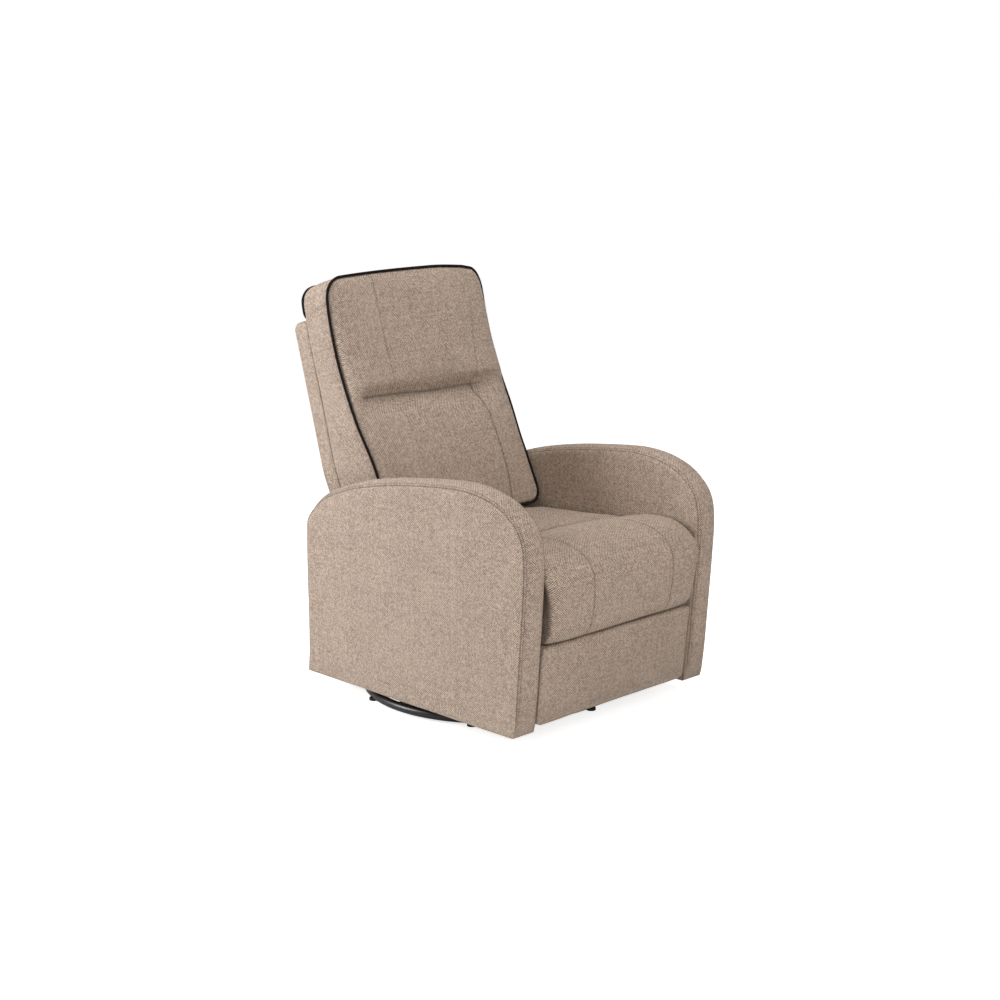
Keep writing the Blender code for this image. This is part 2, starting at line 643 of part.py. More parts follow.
def make_back_bolt(side, sign):
    """The bolt that the back turns on, with a head at each end."""
    inner, outer = MECHANISM_IN - GAP, BACK_BRACKET_IN + BACK_BRACKET + GAP
    bolt = rod(f"back_bolt_{side}", at(BACK_PIVOT, sign * (inner - BOLT_HEAD_HEIGHT)),
               at(BACK_PIVOT, sign * (outer + BOLT_HEAD_HEIGHT)), SHAFT_RADIUS, ZINC_STEEL)
    for name, start, end in (("inner", inner, inner - BOLT_HEAD_HEIGHT), ("outer", outer, outer + BOLT_HEAD_HEIGHT)):
        head = pin(BACK_PIVOT, sign, start, end, BOLT_HEAD_RADIUS, f"back_bolt_{name}_head_{side}")
        combine(bolt, head, "UNION")
    return bolt


def shares_to_places(shares, low_corner, high_corner):
    """Turn an outline's shares into side-view places."""
    return [(low_corner[0] + across * (high_corner[0] - low_corner[0]),
             low_corner[1] + up * (high_corner[1] - low_corner[1])) for across, up in shares]


def outward(outline):
    """Unit normals of a clockwise side-view outline."""
    normals = []
    for i in range(len(outline)):
        run = Vector(outline[(i + 1) % len(outline)]) - Vector(outline[i - 1])
        normals.append(Vector((-run.y, run.x)).normalized())
    return normals


def make_arm(side, sign):
    """An upholstered arm with a crowned strip, and the board in its slot."""
    outline = shares_to_places(ARM_OUTLINE_SHARES, (ARM_REAR, ARM_LOW), (ARM_FRONT, ARM_HIGH))
    normals = outward(outline)
    rows = []
    for share in ARM_STATION_SHARES:
        lift = (ARM_CROWN + ARM_EDGE_DROP) * puff(2 * share - 1, *ARM_CROWN_POWERS) - ARM_EDGE_DROP
        row = []
        for place, normal, (_, up_share) in zip(outline, normals, ARM_OUTLINE_SHARES):
            moved = Vector(place) + normal * lift * smooth_step(0, ARM_LIFT_SHARE, up_share)
            row.append(at(moved, sign * (ARM_INNER + share * ARM_THICKNESS)))
        rows.append(row)
    cover = loft(f"arm_{side}", rows, FABRIC)
    board_outline = shares_to_places(ARM_BOARD_SHARES, (ARM_REAR, RAIL_LOW), (ARM_FRONT, ARM_HIGH))[::-1]
    middle = (ARM_INNER + ARM_OUTER) / 2
    inner, outer = middle - ARM_BOARD_THICKNESS / 2, middle + ARM_BOARD_THICKNESS / 2
    board = flat(f"arm_board_{side}", board_outline, sign * inner, sign * outer, WOOD)
    slot = flat(f"arm_slot_{side}", grown(board_outline, GAP), sign * (inner - GAP), sign * (outer + GAP), WOOD)
    combine(cover, slot, "DIFFERENCE")
    return [cover, board]


def make_seat():
    """The seat frame on its guide brackets, with springs and the cushion."""
    inner = SEAT_RAIL_OUT - SEAT_RAIL_WIDTH
    made = []
    for side, sign in SIDES:
        ends = sorted((sign * inner, sign * SEAT_RAIL_OUT))
        made.append(box(f"seat_side_rail_{side}", (ends[0], -SEAT_FRAME_FRONT, SEAT_RAIL_LOW),
                        (ends[1], -SEAT_FRAME_REAR, SEAT_RAIL_TOP), WOOD))
        made.append(make_seat_bracket(side, sign))
    half = inner - GAP
    front, rear = -SEAT_FRAME_FRONT, -SEAT_FRAME_REAR
    made.append(box("seat_front_rail", (-half, front, SEAT_RAIL_LOW), (half, front + SEAT_CROSS_RAIL, SEAT_RAIL_TOP),
                    WOOD))
    made.append(box("seat_rear_rail", (-half, rear - SEAT_CROSS_RAIL, SEAT_RAIL_LOW), (half, rear, SEAT_RAIL_TOP),
                    WOOD))
    for i in range(SPRING_COUNT):
        middle = half * ((2 * i + 1) / SPRING_COUNT - 1)
        made.append(make_spring(f"seat_spring_{i + 1}", middle, front + SEAT_CROSS_RAIL / 2,
                                rear - SEAT_CROSS_RAIL / 2))
    made.append(make_seat_cushion())
    return made


def make_seat_bracket(side, sign):
    """A channel that slides on the mechanism plate, with a slot for the back's drive pin."""
    top = GUIDE_UP + GAP + BRACKET_THICKNESS
    drive = (BACK_PIVOT[0], BACK_PIVOT[1] - DRIVE_ARM)
    rise = DRIVE_ARM * (1 - math.cos(math.radians(RECLINE_DEGREES)))
    width = MECHANISM_IN - BRACKET_INNER_WIDTH
    leg_out = MECHANISM_IN - GAP
    bracket = box_across(f"seat_bracket_{side}", sign, width, BRACKET_LEG_OUT, BRACKET_REAR, BRACKET_FRONT,
                         GUIDE_UP + GAP, top)
    inner_leg = box_across(f"bracket_inner_leg_{side}", sign, leg_out - BRACKET_THICKNESS, leg_out, BRACKET_REAR,
                           BRACKET_LEG_FRONT, GUIDE_UP - BRACKET_DEPTH, top)
    outer_leg = box_across(f"bracket_outer_leg_{side}", sign, MECHANISM_OUT + GAP, BRACKET_LEG_OUT,
                           drive[0] - DRIVE_LEG_MARGIN, DRIVE_LEG_FRONT, drive[1] - DRIVE_LEG_MARGIN, top)
    combine(bracket, inner_leg, "UNION")
    combine(bracket, outer_leg, "UNION")
    slot = flat(f"drive_slot_{side}", rounded([drive, (drive[0], drive[1] + rise)], PIN_RADIUS + DRIVE_SLOT_PLAY),
                sign * MECHANISM_OUT, sign * (BRACKET_LEG_OUT + OVERRUN), ZINC_STEEL)
    combine(bracket, slot, "DIFFERENCE")
    return bracket


def box_across(name, sign, inner, outer, rear, front, low, high):
    """A steel box given by its distances outwards, forward and up."""
    ends = sorted((sign * inner, sign * outer))
    return box(name, (ends[0], -front, low), (ends[1], -rear, high), ZINC_STEEL)


def make_spring(name, middle, start, end):
    """A sinuous wire between the front and rear rails."""
    up = SEAT_RAIL_TOP + GAP + SPRING_WIRE_RADIUS
    crossings = 2 * SPRING_WAVES
    step = (end - start) / crossings
    points = [(middle, start, up)]
    for i in range(crossings):
        sign = 1 if i % 2 else -1
        y = start + (i + 0.5) * step
        points += [(middle - sign * SPRING_HALF_WIDTH, y, up), (middle + sign * SPRING_HALF_WIDTH, y, up)]
    points.append((middle, end, up))
    return tube(name, points, SPRING_WIRE_RADIUS, SPRING_STEEL)


def make_seat_cushion():
    """The cushion with its rolled nose, drawn-in sides and two long seams."""
    top = shares_to_places(SEAT_OUTLINE_SHARES, (SEAT_REAR, SEAT_LIP_UP), (SEAT_FRONT, SEAT_TOP_UP))
    outline = top + [(SEAT_FRAME_FRONT + GAP, SEAT_CUSHION_LOW), (SEAT_REAR, SEAT_CUSHION_LOW)]
    normals = outward(outline)
    up_shares = [up for _, up in SEAT_OUTLINE_SHARES] + [0, 0]
    rows = []
    for share in SOFT_STATION_SHARES:
        x = share * SEAT_HALF_WIDTH
        inset = SEAT_SIDE_INSET * (1 - puff(share, *SEAT_SIDE_POWERS)) + SEAM_DEPTH * dip(abs(x), SEAM_OFFSET, SEAM_HALF_WIDTH)
        rows.append([at(Vector(place) - normal * inset * smooth_step(0, SEAT_INSET_SHARE, up), x)
                     for place, normal, up in zip(outline, normals, up_shares)])
    return loft("seat_cushion", rows, FABRIC)


def back_place(x, along, depth):
    """World place from the distance along the back's rear face and forward of it."""
    return BACK_START + ALONG_BACK * along + BACK_TO_FRONT * depth + Vector((x, 0, 0))


def back_side_place(along, depth):
    """Side-view place of a back place."""
    place = back_place(0, along, depth)
    return -place.y, place.z


def back_box(name, x_low, x_high, along_low, along_high, depth_low, depth_high, look):
    """A box that leans with the back."""
    frame = Matrix.Translation(BACK_START) @ Matrix.Rotation(-LEAN, 4, "X")
    return box(name, (x_low, -depth_high, along_low), (x_high, -depth_low, along_high), look, frame)


def shell_half_width(along):
    """Half width of the outer back, wider above the arms."""
    low, high = (share * SHELL_LENGTH for share in SHELL_WIDENS_SHARES)
    return SHELL_HALF_WIDTH_LOW + (SHELL_HALF_WIDTH_HIGH - SHELL_HALF_WIDTH_LOW) * smooth_step(low, high, along)


def corner_drop(distance, radius):
    """How far a rounded corner falls at a distance into it."""
    inside = min(max(distance, 0.0), radius)
    return radius - math.sqrt(radius ** 2 - inside ** 2)


def make_back():
    """The outer back with its frame and brackets, the cushion and its piping."""
    made = [make_shell()]
    inner = UPRIGHT_OUT - UPRIGHT_WIDTH
    frame_top = SHELL_LENGTH - SHELL_WALL - GAP
    for side, sign in SIDES:
        ends = sorted((sign * inner, sign * UPRIGHT_OUT))
        made.append(back_box(f"back_upright_{side}", ends[0], ends[1], UPRIGHT_LOW, frame_top, FRAME_DEPTH_LOW,
                             FRAME_DEPTH_HIGH, WOOD))
        made.append(make_back_bracket(side, sign))
    half = inner - GAP
    for name, low in (("top", frame_top - BACK_RAIL_WIDTH), ("bottom", BACK_RAIL_LOW)):
        made.append(back_box(f"back_{name}_rail", -half, half, low, low + BACK_RAIL_WIDTH, FRAME_DEPTH_LOW,
                             FRAME_DEPTH_HIGH, WOOD))
    made.append(make_back_cushion())
    made += make_piping()
    return made


def make_shell():
    """The outer back: a leaning slab with a pocket for the frame, open below."""
    rows = []
    for share in SHELL_STATION_SHARES:
        distance = abs(share) * SHELL_HALF_WIDTH_HIGH - (SHELL_HALF_WIDTH_HIGH - SHELL_CORNER)
        top = SHELL_LENGTH - corner_drop(distance, SHELL_CORNER)
        low, high = (part * SHELL_LENGTH for part in SHELL_WIDENS_SHARES)
        lengths = (0, low, (low + high) / 2, high, top)
        rear = [back_place(share * shell_half_width(along), along, 0) for along in lengths]
        front = [back_place(share * shell_half_width(along), along, SHELL_DEPTH) for along in reversed(lengths)]
        rows.append(rear + front)
    shell = loft("back_shell", rows, FABRIC)
    half = SHELL_HALF_WIDTH_LOW - SHELL_WALL
    pocket = back_box("shell_pocket", -half, half, -OVERRUN, SHELL_LENGTH - SHELL_WALL, SHELL_WALL,
                      SHELL_DEPTH + OVERRUN, FABRIC)
    combine(shell, pocket, "DIFFERENCE")
    return shell


def make_back_bracket(side, sign):
    """The hinge bracket on an upright, with the pin that drives the seat."""
    drive = (BACK_PIVOT[0], BACK_PIVOT[1] - DRIVE_ARM)
    middle = (FRAME_DEPTH_LOW + FRAME_DEPTH_HIGH) / 2
    foot, top = back_side_place(UPRIGHT_LOW, middle), back_side_place(BRACKET_REACH, middle)
    inner, outer = BACK_BRACKET_IN, BACK_BRACKET_IN + BACK_BRACKET
    bracket = flat(f"back_bracket_{side}", rounded([drive, BACK_PIVOT, foot, top], BACK_BOSS_RADIUS), sign * inner,
                   sign * outer, ZINC_STEEL, [circle(BACK_PIVOT, SHAFT_RADIUS + RUNNING_PLAY)])
    combine(bracket, pin(drive, sign, MECHANISM_OUT + GAP, outer, name=f"drive_pin_{side}"), "UNION")
    return bracket


def cushion_half_width(share):
    """Half width of the back cushion, narrower between the arms."""
    return CUSHION_HALF_WIDTH_LOW + (CUSHION_HALF_WIDTH_HIGH - CUSHION_HALF_WIDTH_LOW) * smooth_step(
        *CUSHION_WIDENS_SHARES, share)


def cushion_edge(station, share):
    """Distance across, along and depth of the cushion's front edge line."""
    length = CUSHION_FRONT_HIGH - CUSHION_FRONT_LOW
    across = abs(station) * CUSHION_HALF_WIDTH_HIGH - CUSHION_HALF_WIDTH_HIGH
    low = CUSHION_FRONT_LOW + corner_drop(across + CUSHION_CORNER_LOW, CUSHION_CORNER_LOW)
    crown = CUSHION_TOP_CROWN * puff(station, *CUSHION_TOP_POWERS)
    high = CUSHION_FRONT_HIGH + crown - corner_drop(across + CUSHION_CORNER_HIGH, CUSHION_CORNER_HIGH)
    along = low + (high - low) * share
    true_share = (along - CUSHION_FRONT_LOW) / length
    depth = SHELL_DEPTH + GAP + CUSHION_DEPTH * blend(CUSHION_DEPTH_SHARES, true_share)
    return station * cushion_half_width(true_share), along, depth


def make_back_cushion():
    """A boxed cushion: two puffed sections with a crease between them and long seams."""
    rows = []
    for station in SOFT_STATION_SHARES:
        row = []
        for share in CUSHION_ROW_SHARES:
            x, along, depth = cushion_edge(station, share)
            level = 1 - CREASE_DEPTH_SHARE * dip(share, CREASE_SHARE, CREASE_HALF_WIDTH_SHARE)
            bulge = CUSHION_BULGE * puff(station, *PANEL_POWERS) * puff(2 * share - 1, *SECTION_POWERS) * level
            groove = SEAM_DEPTH * dip(abs(x), SEAM_OFFSET, SEAM_HALF_WIDTH) * puff(2 * share - 1)
            row.append(back_place(x, along, depth + bulge - groove))
        x, along, depth = cushion_edge(station, 1.0)
        rear_high = CUSHION_REAR_HIGH - (CUSHION_FRONT_HIGH - along)
        rear_depth = SHELL_DEPTH + GAP
        inset = station * CUSHION_REAR_INSET
        row.append(back_place(x - inset / 2, (along + rear_high) / 2, (depth + rear_depth) / 2))
        for part in reversed(CUSHION_ROW_SHARES):
            rear = CUSHION_REAR_LOW + (rear_high - CUSHION_REAR_LOW) * part
            row.append(back_place(station * cushion_half_width(part) - inset, rear, rear_depth))
        x, along, depth = cushion_edge(station, 0.0)
        row.append(back_place(x - inset / 2, (along + CUSHION_REAR_LOW) / 2, (depth + rear_depth) / 2))
        rows.append(row)
    return loft("back_cushion", rows, FABRIC)


def make_piping():
    """The cord round the front edge and the one over the top of the rear edge."""
    stations, shares = SOFT_STATION_SHARES, CUSHION_ROW_SHARES
    edge = [cushion_edge(station, 0.0) for station in stations]
    edge += [cushion_edge(1.0, share) for share in shares[1:]]
    edge += [cushion_edge(station, 1.0) for station in stations[-2::-1]]
    edge += [cushion_edge(-1.0, share) for share in shares[-2:0:-1]]
    path = [back_place(x, along, depth) for (x, along), (_, _, depth) in
            zip(grown([(x, along) for x, along, _ in edge], PIPING_OUT), edge)]
    front = tube("front_piping", path, PIPING_RADIUS, PIPING, closed=True)
    half = CUSHION_HALF_WIDTH_HIGH - CUSHION_REAR_INSET
    slope = CUSHION_REAR_INSET / (CUSHION_DEPTH * min(share for _, share in CUSHION_DEPTH_SHARES))
    out = PIPING_OUT + PIPING_RADIUS * slope
    arch = []
    for station in reversed(stations):
        arch.append((station * half, CUSHION_REAR_HIGH - CUSHION_FRONT_HIGH + cushion_edge(station, 1.0)[1]))
    ring = grown([(half, REAR_PIPING_START)] + arch + [(-half, REAR_PIPING_START)], out)
    ring[0] = (half + out, REAR_PIPING_START)
    ring[-1] = (-half - out, REAR_PIPING_START)
    depth = SHELL_DEPTH + PIPING_RADIUS
    rear = tube("rear_piping", [back_place(x, along, depth) for x, along in ring], PIPING_RADIUS, PIPING)
    return [front, rear]


def make_linkage():
    """Both sides' links, grouped by the joint that they turn on, and the drive shaft."""
    end = layer(REAR_LAYER)[1]
    groups = {"rear": [rod("drive_shaft", at(REAR_PIVOT, -end), at(REAR_PIVOT, end), SHAFT_RADIUS, ZINC_STEEL)],
              "control": [], "front": [], "upper": []}
    for side, sign in SIDES:
        rear = link(f"rear_link_{side}", sign, REAR_LAYER,
                    rounded([REAR_PIVOT, FRONT_LINK_PIVOT, UPPER_LINK_PIVOT]),
                    [(REAR_PIVOT, SHAFT_RADIUS + GAP), hole(FRONT_LINK_PIVOT)])
        add_pin(rear, UPPER_LINK_PIVOT, sign, REAR_LAYER, UPPER_LAYER)
        control = link(f"control_link_{side}", sign, CONTROL_LAYER,
                       strip([CONTROL_PIVOT, CONTROL_BEND, CONTROL_LINK_PIVOT]), [hole(CONTROL_PIVOT)])
        add_pin(control, CONTROL_LINK_PIVOT, sign, CONTROL_LAYER, FRONT_LAYER)
        front = link(f"front_link_{side}", sign, FRONT_LAYER,
                     rounded([FRONT_LINK_PIVOT, CONTROL_LINK_PIVOT, FOOTREST_PIVOT]),
                     [hole(CONTROL_LINK_PIVOT, OPEN_PIVOT_PLAY)])
        add_pin(front, FRONT_LINK_PIVOT, sign, FRONT_LAYER, REAR_LAYER)
        add_pin(front, FOOTREST_PIVOT, sign, FRONT_LAYER, BRACKET_LAYER)
        upper = link(f"upper_link_{side}", sign, UPPER_LAYER, rounded([UPPER_LINK_PIVOT, FOOTREST_UPPER_PIVOT]),
                     [hole(UPPER_LINK_PIVOT), hole(FOOTREST_UPPER_PIVOT, OPEN_PIVOT_PLAY)])
        for key, thing in (("rear", rear), ("control", control), ("front", front), ("upper", upper)):
            groups[key].append(thing)
    return groups


def edge_fall(inside):
    """How far the pad's rounded edge falls back at a distance inside it."""
    return corner_drop(FOOTREST_EDGE_RADIUS - inside, FOOTREST_EDGE_RADIUS)


def make_footrest():
    """The padded board and the brackets that its links turn on."""
    half = FOOTREST_HALF_WIDTH - FOOTREST_BOARD_INSET
    made = [box("footrest_board", (-half, -FOOTREST_BOARD_BACK - FOOTREST_BOARD_THICKNESS,
                                   FOOTREST_LOW + FOOTREST_BOARD_INSET),
                (half, -FOOTREST_BOARD_BACK, FOOTREST_HIGH - FOOTREST_BOARD_INSET), WOOD)]
    rows = []
    height = FOOTREST_HIGH - FOOTREST_LOW
    for station in PAD_STATION_SHARES:
        x = station * FOOTREST_HALF_WIDTH
        row = [at((PAD_BACK, FOOTREST_HIGH), x), at((PAD_BACK, FOOTREST_LOW), x)]
        side_fall = edge_fall(FOOTREST_HALF_WIDTH - abs(x))
        for share in PAD_ROW_SHARES:
            up = height * share
            fall = min(side_fall + edge_fall(min(up, height - up)), FOOTREST_EDGE_RADIUS)
            face = FOOTREST_PAD_THICKNESS - FOOTREST_LEAN * (1 - share)
            crown = FOOTREST_CROWN * puff(2 * share - 1, *FOOTREST_CROWN_POWERS) * puff(station, *FOOTREST_CROWN_POWERS)
            row.append(at((PAD_BACK + face + crown - fall, FOOTREST_LOW + up), x))
        rows.append(row)
    made.append(loft("footrest_pad", rows, FABRIC))
    inner, outer = layer(BRACKET_LAYER)
    for side, sign in SIDES:
        face = FOOTREST_BOARD_BACK - GAP
        low = (face - LINK_HALF_WIDTH, FOOTREST_PIVOT[1] - FLANGE_DROP)
        bracket = flat(f"footrest_bracket_{side}", rounded([FOOTREST_PIVOT, FOOTREST_UPPER_PIVOT, low]), sign * inner,
                       sign * outer, ZINC_STEEL, [circle(FOOTREST_PIVOT, PIN_RADIUS + RUNNING_PLAY)])
        flange = box_across(f"bracket_flange_{side}", sign, inner, inner + FLANGE_WIDTH, face - FLANGE_THICKNESS, face,
                            low[1] - LINK_HALF_WIDTH, FOOTREST_PIVOT[1])
        combine(bracket, flange, "UNION")
        add_pin(bracket, FOOTREST_UPPER_PIVOT, sign, UPPER_LAYER, BRACKET_LAYER)
        made.append(bracket)
    return made


def joint(name, place, children, parent=None):
    """An empty on a joint's axis that carries its pieces."""
    empty = bpy.data.objects.new(name, None)
    parts.objects.link(empty)
    empty.empty_display_size = RING_TUBE_RADIUS
    empty.location = place
    empty.parent = parent
    if parent:
        empty.matrix_parent_inverse = Matrix.Translation(parent.matrix_world.translation).inverted()
    bpy.context.view_layer.update()
    for child in children:
        child.parent = empty
        child.matrix_parent_inverse = empty.matrix_world.inverted()
    return empty


base = make_base()
swivel = joint("swivel_joint", (0, RING_BACK, 0), make_chassis())
joint("recline_joint", at(BACK_PIVOT), make_back(), swivel)
joint("seat_slide_joint", at((SEAT_REAR, GUIDE_UP)), make_seat(), swivel)
links = make_linkage()
rear_joint = joint("rear_link_joint", at(REAR_PIVOT), links["rear"], swivel)
joint("control_link_joint", at(CONTROL_PIVOT), links["control"], swivel)
front_joint = joint("front_link_joint", at(FRONT_LINK_PIVOT), links["front"], rear_joint)
joint("upper_link_joint", at(UPPER_LINK_PIVOT), links["upper"], rear_joint)
joint("footrest_joint", at(FOOTREST_PIVOT), make_footrest(), front_joint)
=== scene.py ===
"""Looks for the pushback recliner: upholstery, seams, piping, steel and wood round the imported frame.

The sitter faces -Y. Side-view places are (forward, up) pairs, where forward is -Y. Places on the back are
given across it, along its lean and in front of its outer face.
"""

import math

import bmesh
import bpy
import numpy as np
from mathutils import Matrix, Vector, noise
from mathutils.bvhtree import BVHTree


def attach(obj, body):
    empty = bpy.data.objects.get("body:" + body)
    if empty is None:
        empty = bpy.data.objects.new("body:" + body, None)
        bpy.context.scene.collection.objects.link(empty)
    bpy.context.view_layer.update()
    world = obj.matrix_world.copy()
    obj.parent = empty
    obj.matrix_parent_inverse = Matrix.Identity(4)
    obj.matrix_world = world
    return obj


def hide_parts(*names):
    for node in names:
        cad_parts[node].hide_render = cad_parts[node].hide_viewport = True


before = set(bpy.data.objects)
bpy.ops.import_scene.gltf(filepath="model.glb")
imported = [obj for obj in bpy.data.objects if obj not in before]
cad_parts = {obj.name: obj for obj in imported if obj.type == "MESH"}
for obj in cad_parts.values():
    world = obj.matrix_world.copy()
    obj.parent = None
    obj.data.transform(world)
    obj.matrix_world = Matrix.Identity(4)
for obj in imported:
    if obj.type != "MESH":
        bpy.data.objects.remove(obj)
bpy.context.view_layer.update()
SIDES = (("left", -1), ("right", 1))

# Sizes of the arms after the part's source, in metres, with the padding drawn in a little on its inner side
ARM_INNER, ARM_THICKNESS = 0.2665, 0.0675
ARM_FRONT, ARM_REAR, ARM_LOW, ARM_HIGH = 0.425, -0.337, 0.0435, 0.598
ARM_CROWN, ARM_EDGE_DROP = 0.009, 0.010
ARM_SEAM_IN, ARM_SEAM_OUT, ARM_STITCH = 0.0095, 0.0060, 0.0068
ARM_MIDDLE, ARM_SWELL_IN, ARM_SWELL_OUT = (0.06, 0.29), 0.0012, 0.0022
ARM_OUTLINE = (
    (0.000, 0.000), (0.000, 0.330), (0.000, 0.630), (0.005, 0.705), (0.030, 0.750), (0.086, 0.820),
    (0.221, 0.897), (0.423, 0.957), (0.653, 0.995), (0.737, 1.000), (0.819, 0.989), (0.899, 0.955),
    (0.945, 0.913), (0.975, 0.870), (0.994, 0.810), (1.000, 0.708), (0.996, 0.589), (0.983, 0.345),
    (0.964, 0.055), (0.952, 0.000))
ARM_PANEL_SHARES = (
    1, 0.9925, 0.985, 0.972, 0.955, 0.93, 0.90, 0.86, 0.82, 0.77, 0.72, 0.66, 0.6, 0.53, 0.46, 0.38,
    0.30, 0.22, 0.14, 0.07, 0)

# The board inside each arm, whose space is cut out of the cover with some room round it
BOARD_LOW, BOARD_SIDES, BOARD_ROOM = 0.0413, (0.2889, 0.3081), 0.0008
BOARD_OUTLINE = (
    (0.060, 0.0), (0.060, 0.640), (0.230, 0.780), (0.700, 0.880), (0.860, 0.850), (0.930, 0.700),
    (0.900, 0.0))
BOARD_ROOM_WAYS = ((-1, -3), (-1, 0), (-1, 1), (0, 1), (1, 1), (1, 0), (1, -3))

# The seat: its outline from the rear over the nose to the lip, its seams and the form of its nose
SEAT_HALF, SEAT_LIP_UP, SEAT_RISE = 0.257, 0.2507, 0.2073
SEAT_TOP_LINE = (
    (-0.125, 0.385), (-0.114, 0.409), (-0.085, 0.420), (-0.020, 0.426), (0.060, 0.431), (0.130, 0.4355),
    (0.180, 0.4380), (0.207, 0.4330), (0.229, 0.4395), (0.266, 0.4555), (0.310, 0.4620), (0.352, 0.4610),
    (0.385, 0.4555), (0.413, 0.4450), (0.436, 0.428), (0.450, 0.401), (0.4535, 0.368), (0.451, 0.330),
    (0.446, 0.300), (0.438, 0.2755), (0.4285, 0.2618), (0.414, 0.2520), (0.398, 0.2510), (0.388, 0.2512))
SEAT_BASE = ((0.3603, 0.2803), (-0.125, 0.2803))
SEAT_SEAMS, SEAT_SEAM_FORWARD, SEAT_SEAM_BEND = (-0.132, 0.144), 0.208, 0.050
SEAT_EDGE_INSET, SEAT_SIDE_INSET, SEAT_SIDE_SWELL = 0.0075, 0.0015, 0.0012
SEAT_SIDE_MIDDLES = ((0.34, 0.36), (-0.06, 0.335))
SEAT_SIDE_SHARES = (1, 0.975, 0.94, 0.89, 0.82, 0.74, 0.64, 0.53, 0.42, 0.31, 0.20, 0.10, 0)
NOSE_CORNER, NOSE_SWELL, NOSE_TUCK = 0.020, 0.014, 0.006
SEAT_FILL_BEHIND, SEAT_FILL_AHEAD = 0.006, 0.020

# The back: where it starts, how it leans, the outer back with the pan that is cut into it for its frame,
# and the cushion with its seams
BACK_START = np.array((0.0, 0.2696, 0.250))
LEAN = math.radians(16)
ALONG = np.array((0.0, math.sin(LEAN), math.cos(LEAN)))
TO_FRONT = np.array((0.0, -math.cos(LEAN), math.sin(LEAN)))
SHELL_LENGTH, SHELL_DEPTH, SHELL_CORNER, SHELL_EDGE = 0.683, 0.052, 0.022, 0.007
SHELL_HALF_LOW, SHELL_HALF_HIGH = 0.2535, 0.2635
PAN_HALF, PAN_LOW, PAN_HIGH, PAN_FLOOR, PAN_OUT = 0.240, -0.03, 0.673, 0.0098, 0.09
CUSHION_LOW, CUSHION_REAR_LOW, CUSHION_HIGH, CUSHION_REAR_HIGH = 0.125, 0.178, 0.760, 0.756
CUSHION_DEPTH, CUSHION_REAR_DEPTH = 0.171, 0.0523
CUSHION_DEPTHS = (
    (0.00, 1.000), (0.11, 0.93), (0.22, 0.857), (0.34, 0.764), (0.43, 0.690), (0.52, 0.623), (0.62, 0.568),
    (0.71, 0.540), (0.80, 0.540), (0.89, 0.562), (1.00, 0.640))
CUSHION_HALF_LOW, CUSHION_SPREAD, CUSHION_REAR_INSET = 0.2543, 0.008, 0.0015
CUSHION_CORNERS_HIGH, CUSHION_CORNER_LOW = (0.042, 0.066), 0.038
CUSHION_CROWN, CUSHION_DROOP = 0.008, 0.011
CUSHION_BULGE, CUSHION_FILL, BOXING_BOW = 0.04224, 0.020, 0.0050
CREASE, CREASE_DEPTH, CREASE_ABOVE, CREASE_BELOW = 0.536, 0.84, 0.028, 0.070
CUSHION_STOPS = (-0.50, 0.58)
CUSHION_SEAMS = (
    (0.118, -0.130, 0.145), (0.250, -0.131, 0.1455), (0.372, -0.133, 0.1455), (0.446, -0.137, 0.139),
    (0.470, -0.137, 0.142), (0.525, -0.136, 0.156), (0.595, -0.133, 0.171), (0.667, -0.130, 0.188),
    (0.780, -0.126, 0.198))
PIPING_RADIUS, FRONT_PIPING_OUT, REAR_PIPING_OUT = 0.0033, 0.0021, 0.0026
REAR_PIPING_LOW, REAR_PIPING_FEET = 0.700, ((0.0035, 0.687), (0.0, 0.697))

# The footrest, the board under the back and the ring on the floor
PAD_HALF, PAD_LOW, PAD_HIGH, PAD_BACK = 0.2605, 0.056, 0.246, 0.3773
PAD_THICKNESS, PAD_LEAN, PAD_SWELL, PAD_EDGE, PAD_CORNERS = 0.039, 0.022, 0.0045, 0.010, (0.017, 0.010)
PANEL_HALF, PANEL_LOW, PANEL_HIGH, PANEL_FRONT, PANEL_THICKNESS = 0.2627, 0.062, 0.235, 0.300, 0.015
PANEL_EDGE, PANEL_CORNERS = 0.004, (0.006, 0.006)
RING_RADIUS, RING_BACK, RING_UP, RING_TUBE = 0.312, 0.020, 0.0173, 0.011

# Threads of the visible stitching
STITCH_LENGTH, STITCH_GAP, STITCH_RADIUS, STITCH_LIFT = 0.0052, 0.0022, 0.00055, 0.0002

# Air that fills the cushions, and for how many frames
PRESSURE, FRAMES = 4.0, 20

# Steps between the places of a mesh
FINE_STEP, STEP, WIDE_STEP = 0.0015, 0.006, 0.012

# Camera, lamps and floor: each lamp has a name, a place, a size, a power and a colour
CAMERA_PLACE, CAMERA_AIM, CAMERA_LENS = (-3.204, -3.221, 1.502), (-0.0068, -0.02, 0.4891), 67.60
LAMP_AIM = (0, 0, 0.5)
LAMPS = (("key", (-2.6, 2.1, 1.6), 1.4, 97, (1, 1, 1)),
         ("front", (-0.9, -3.5, 1.9), 2.0, 61, (1, 0.965, 0.925)),
         ("top", (0.0, 0.0, 3.2), 1.8, 41, (1, 0.98, 0.95)))
WORLD_LIGHT, FLOOR_HALF, FLOOR_WHITE, FLOOR_GLOW = 0.27, 14, 0.88, 0.76
WHITE = (1, 1, 1, 1)


# Materials
def fill(node, inputs):
    """Set a node's inputs, or link them to the outputs that are given."""
    for key, value in inputs.items():
        if isinstance(value, bpy.types.NodeSocket):
            node.id_data.links.new(value, node.inputs[key])
        else:
            node.inputs[key].default_value = value


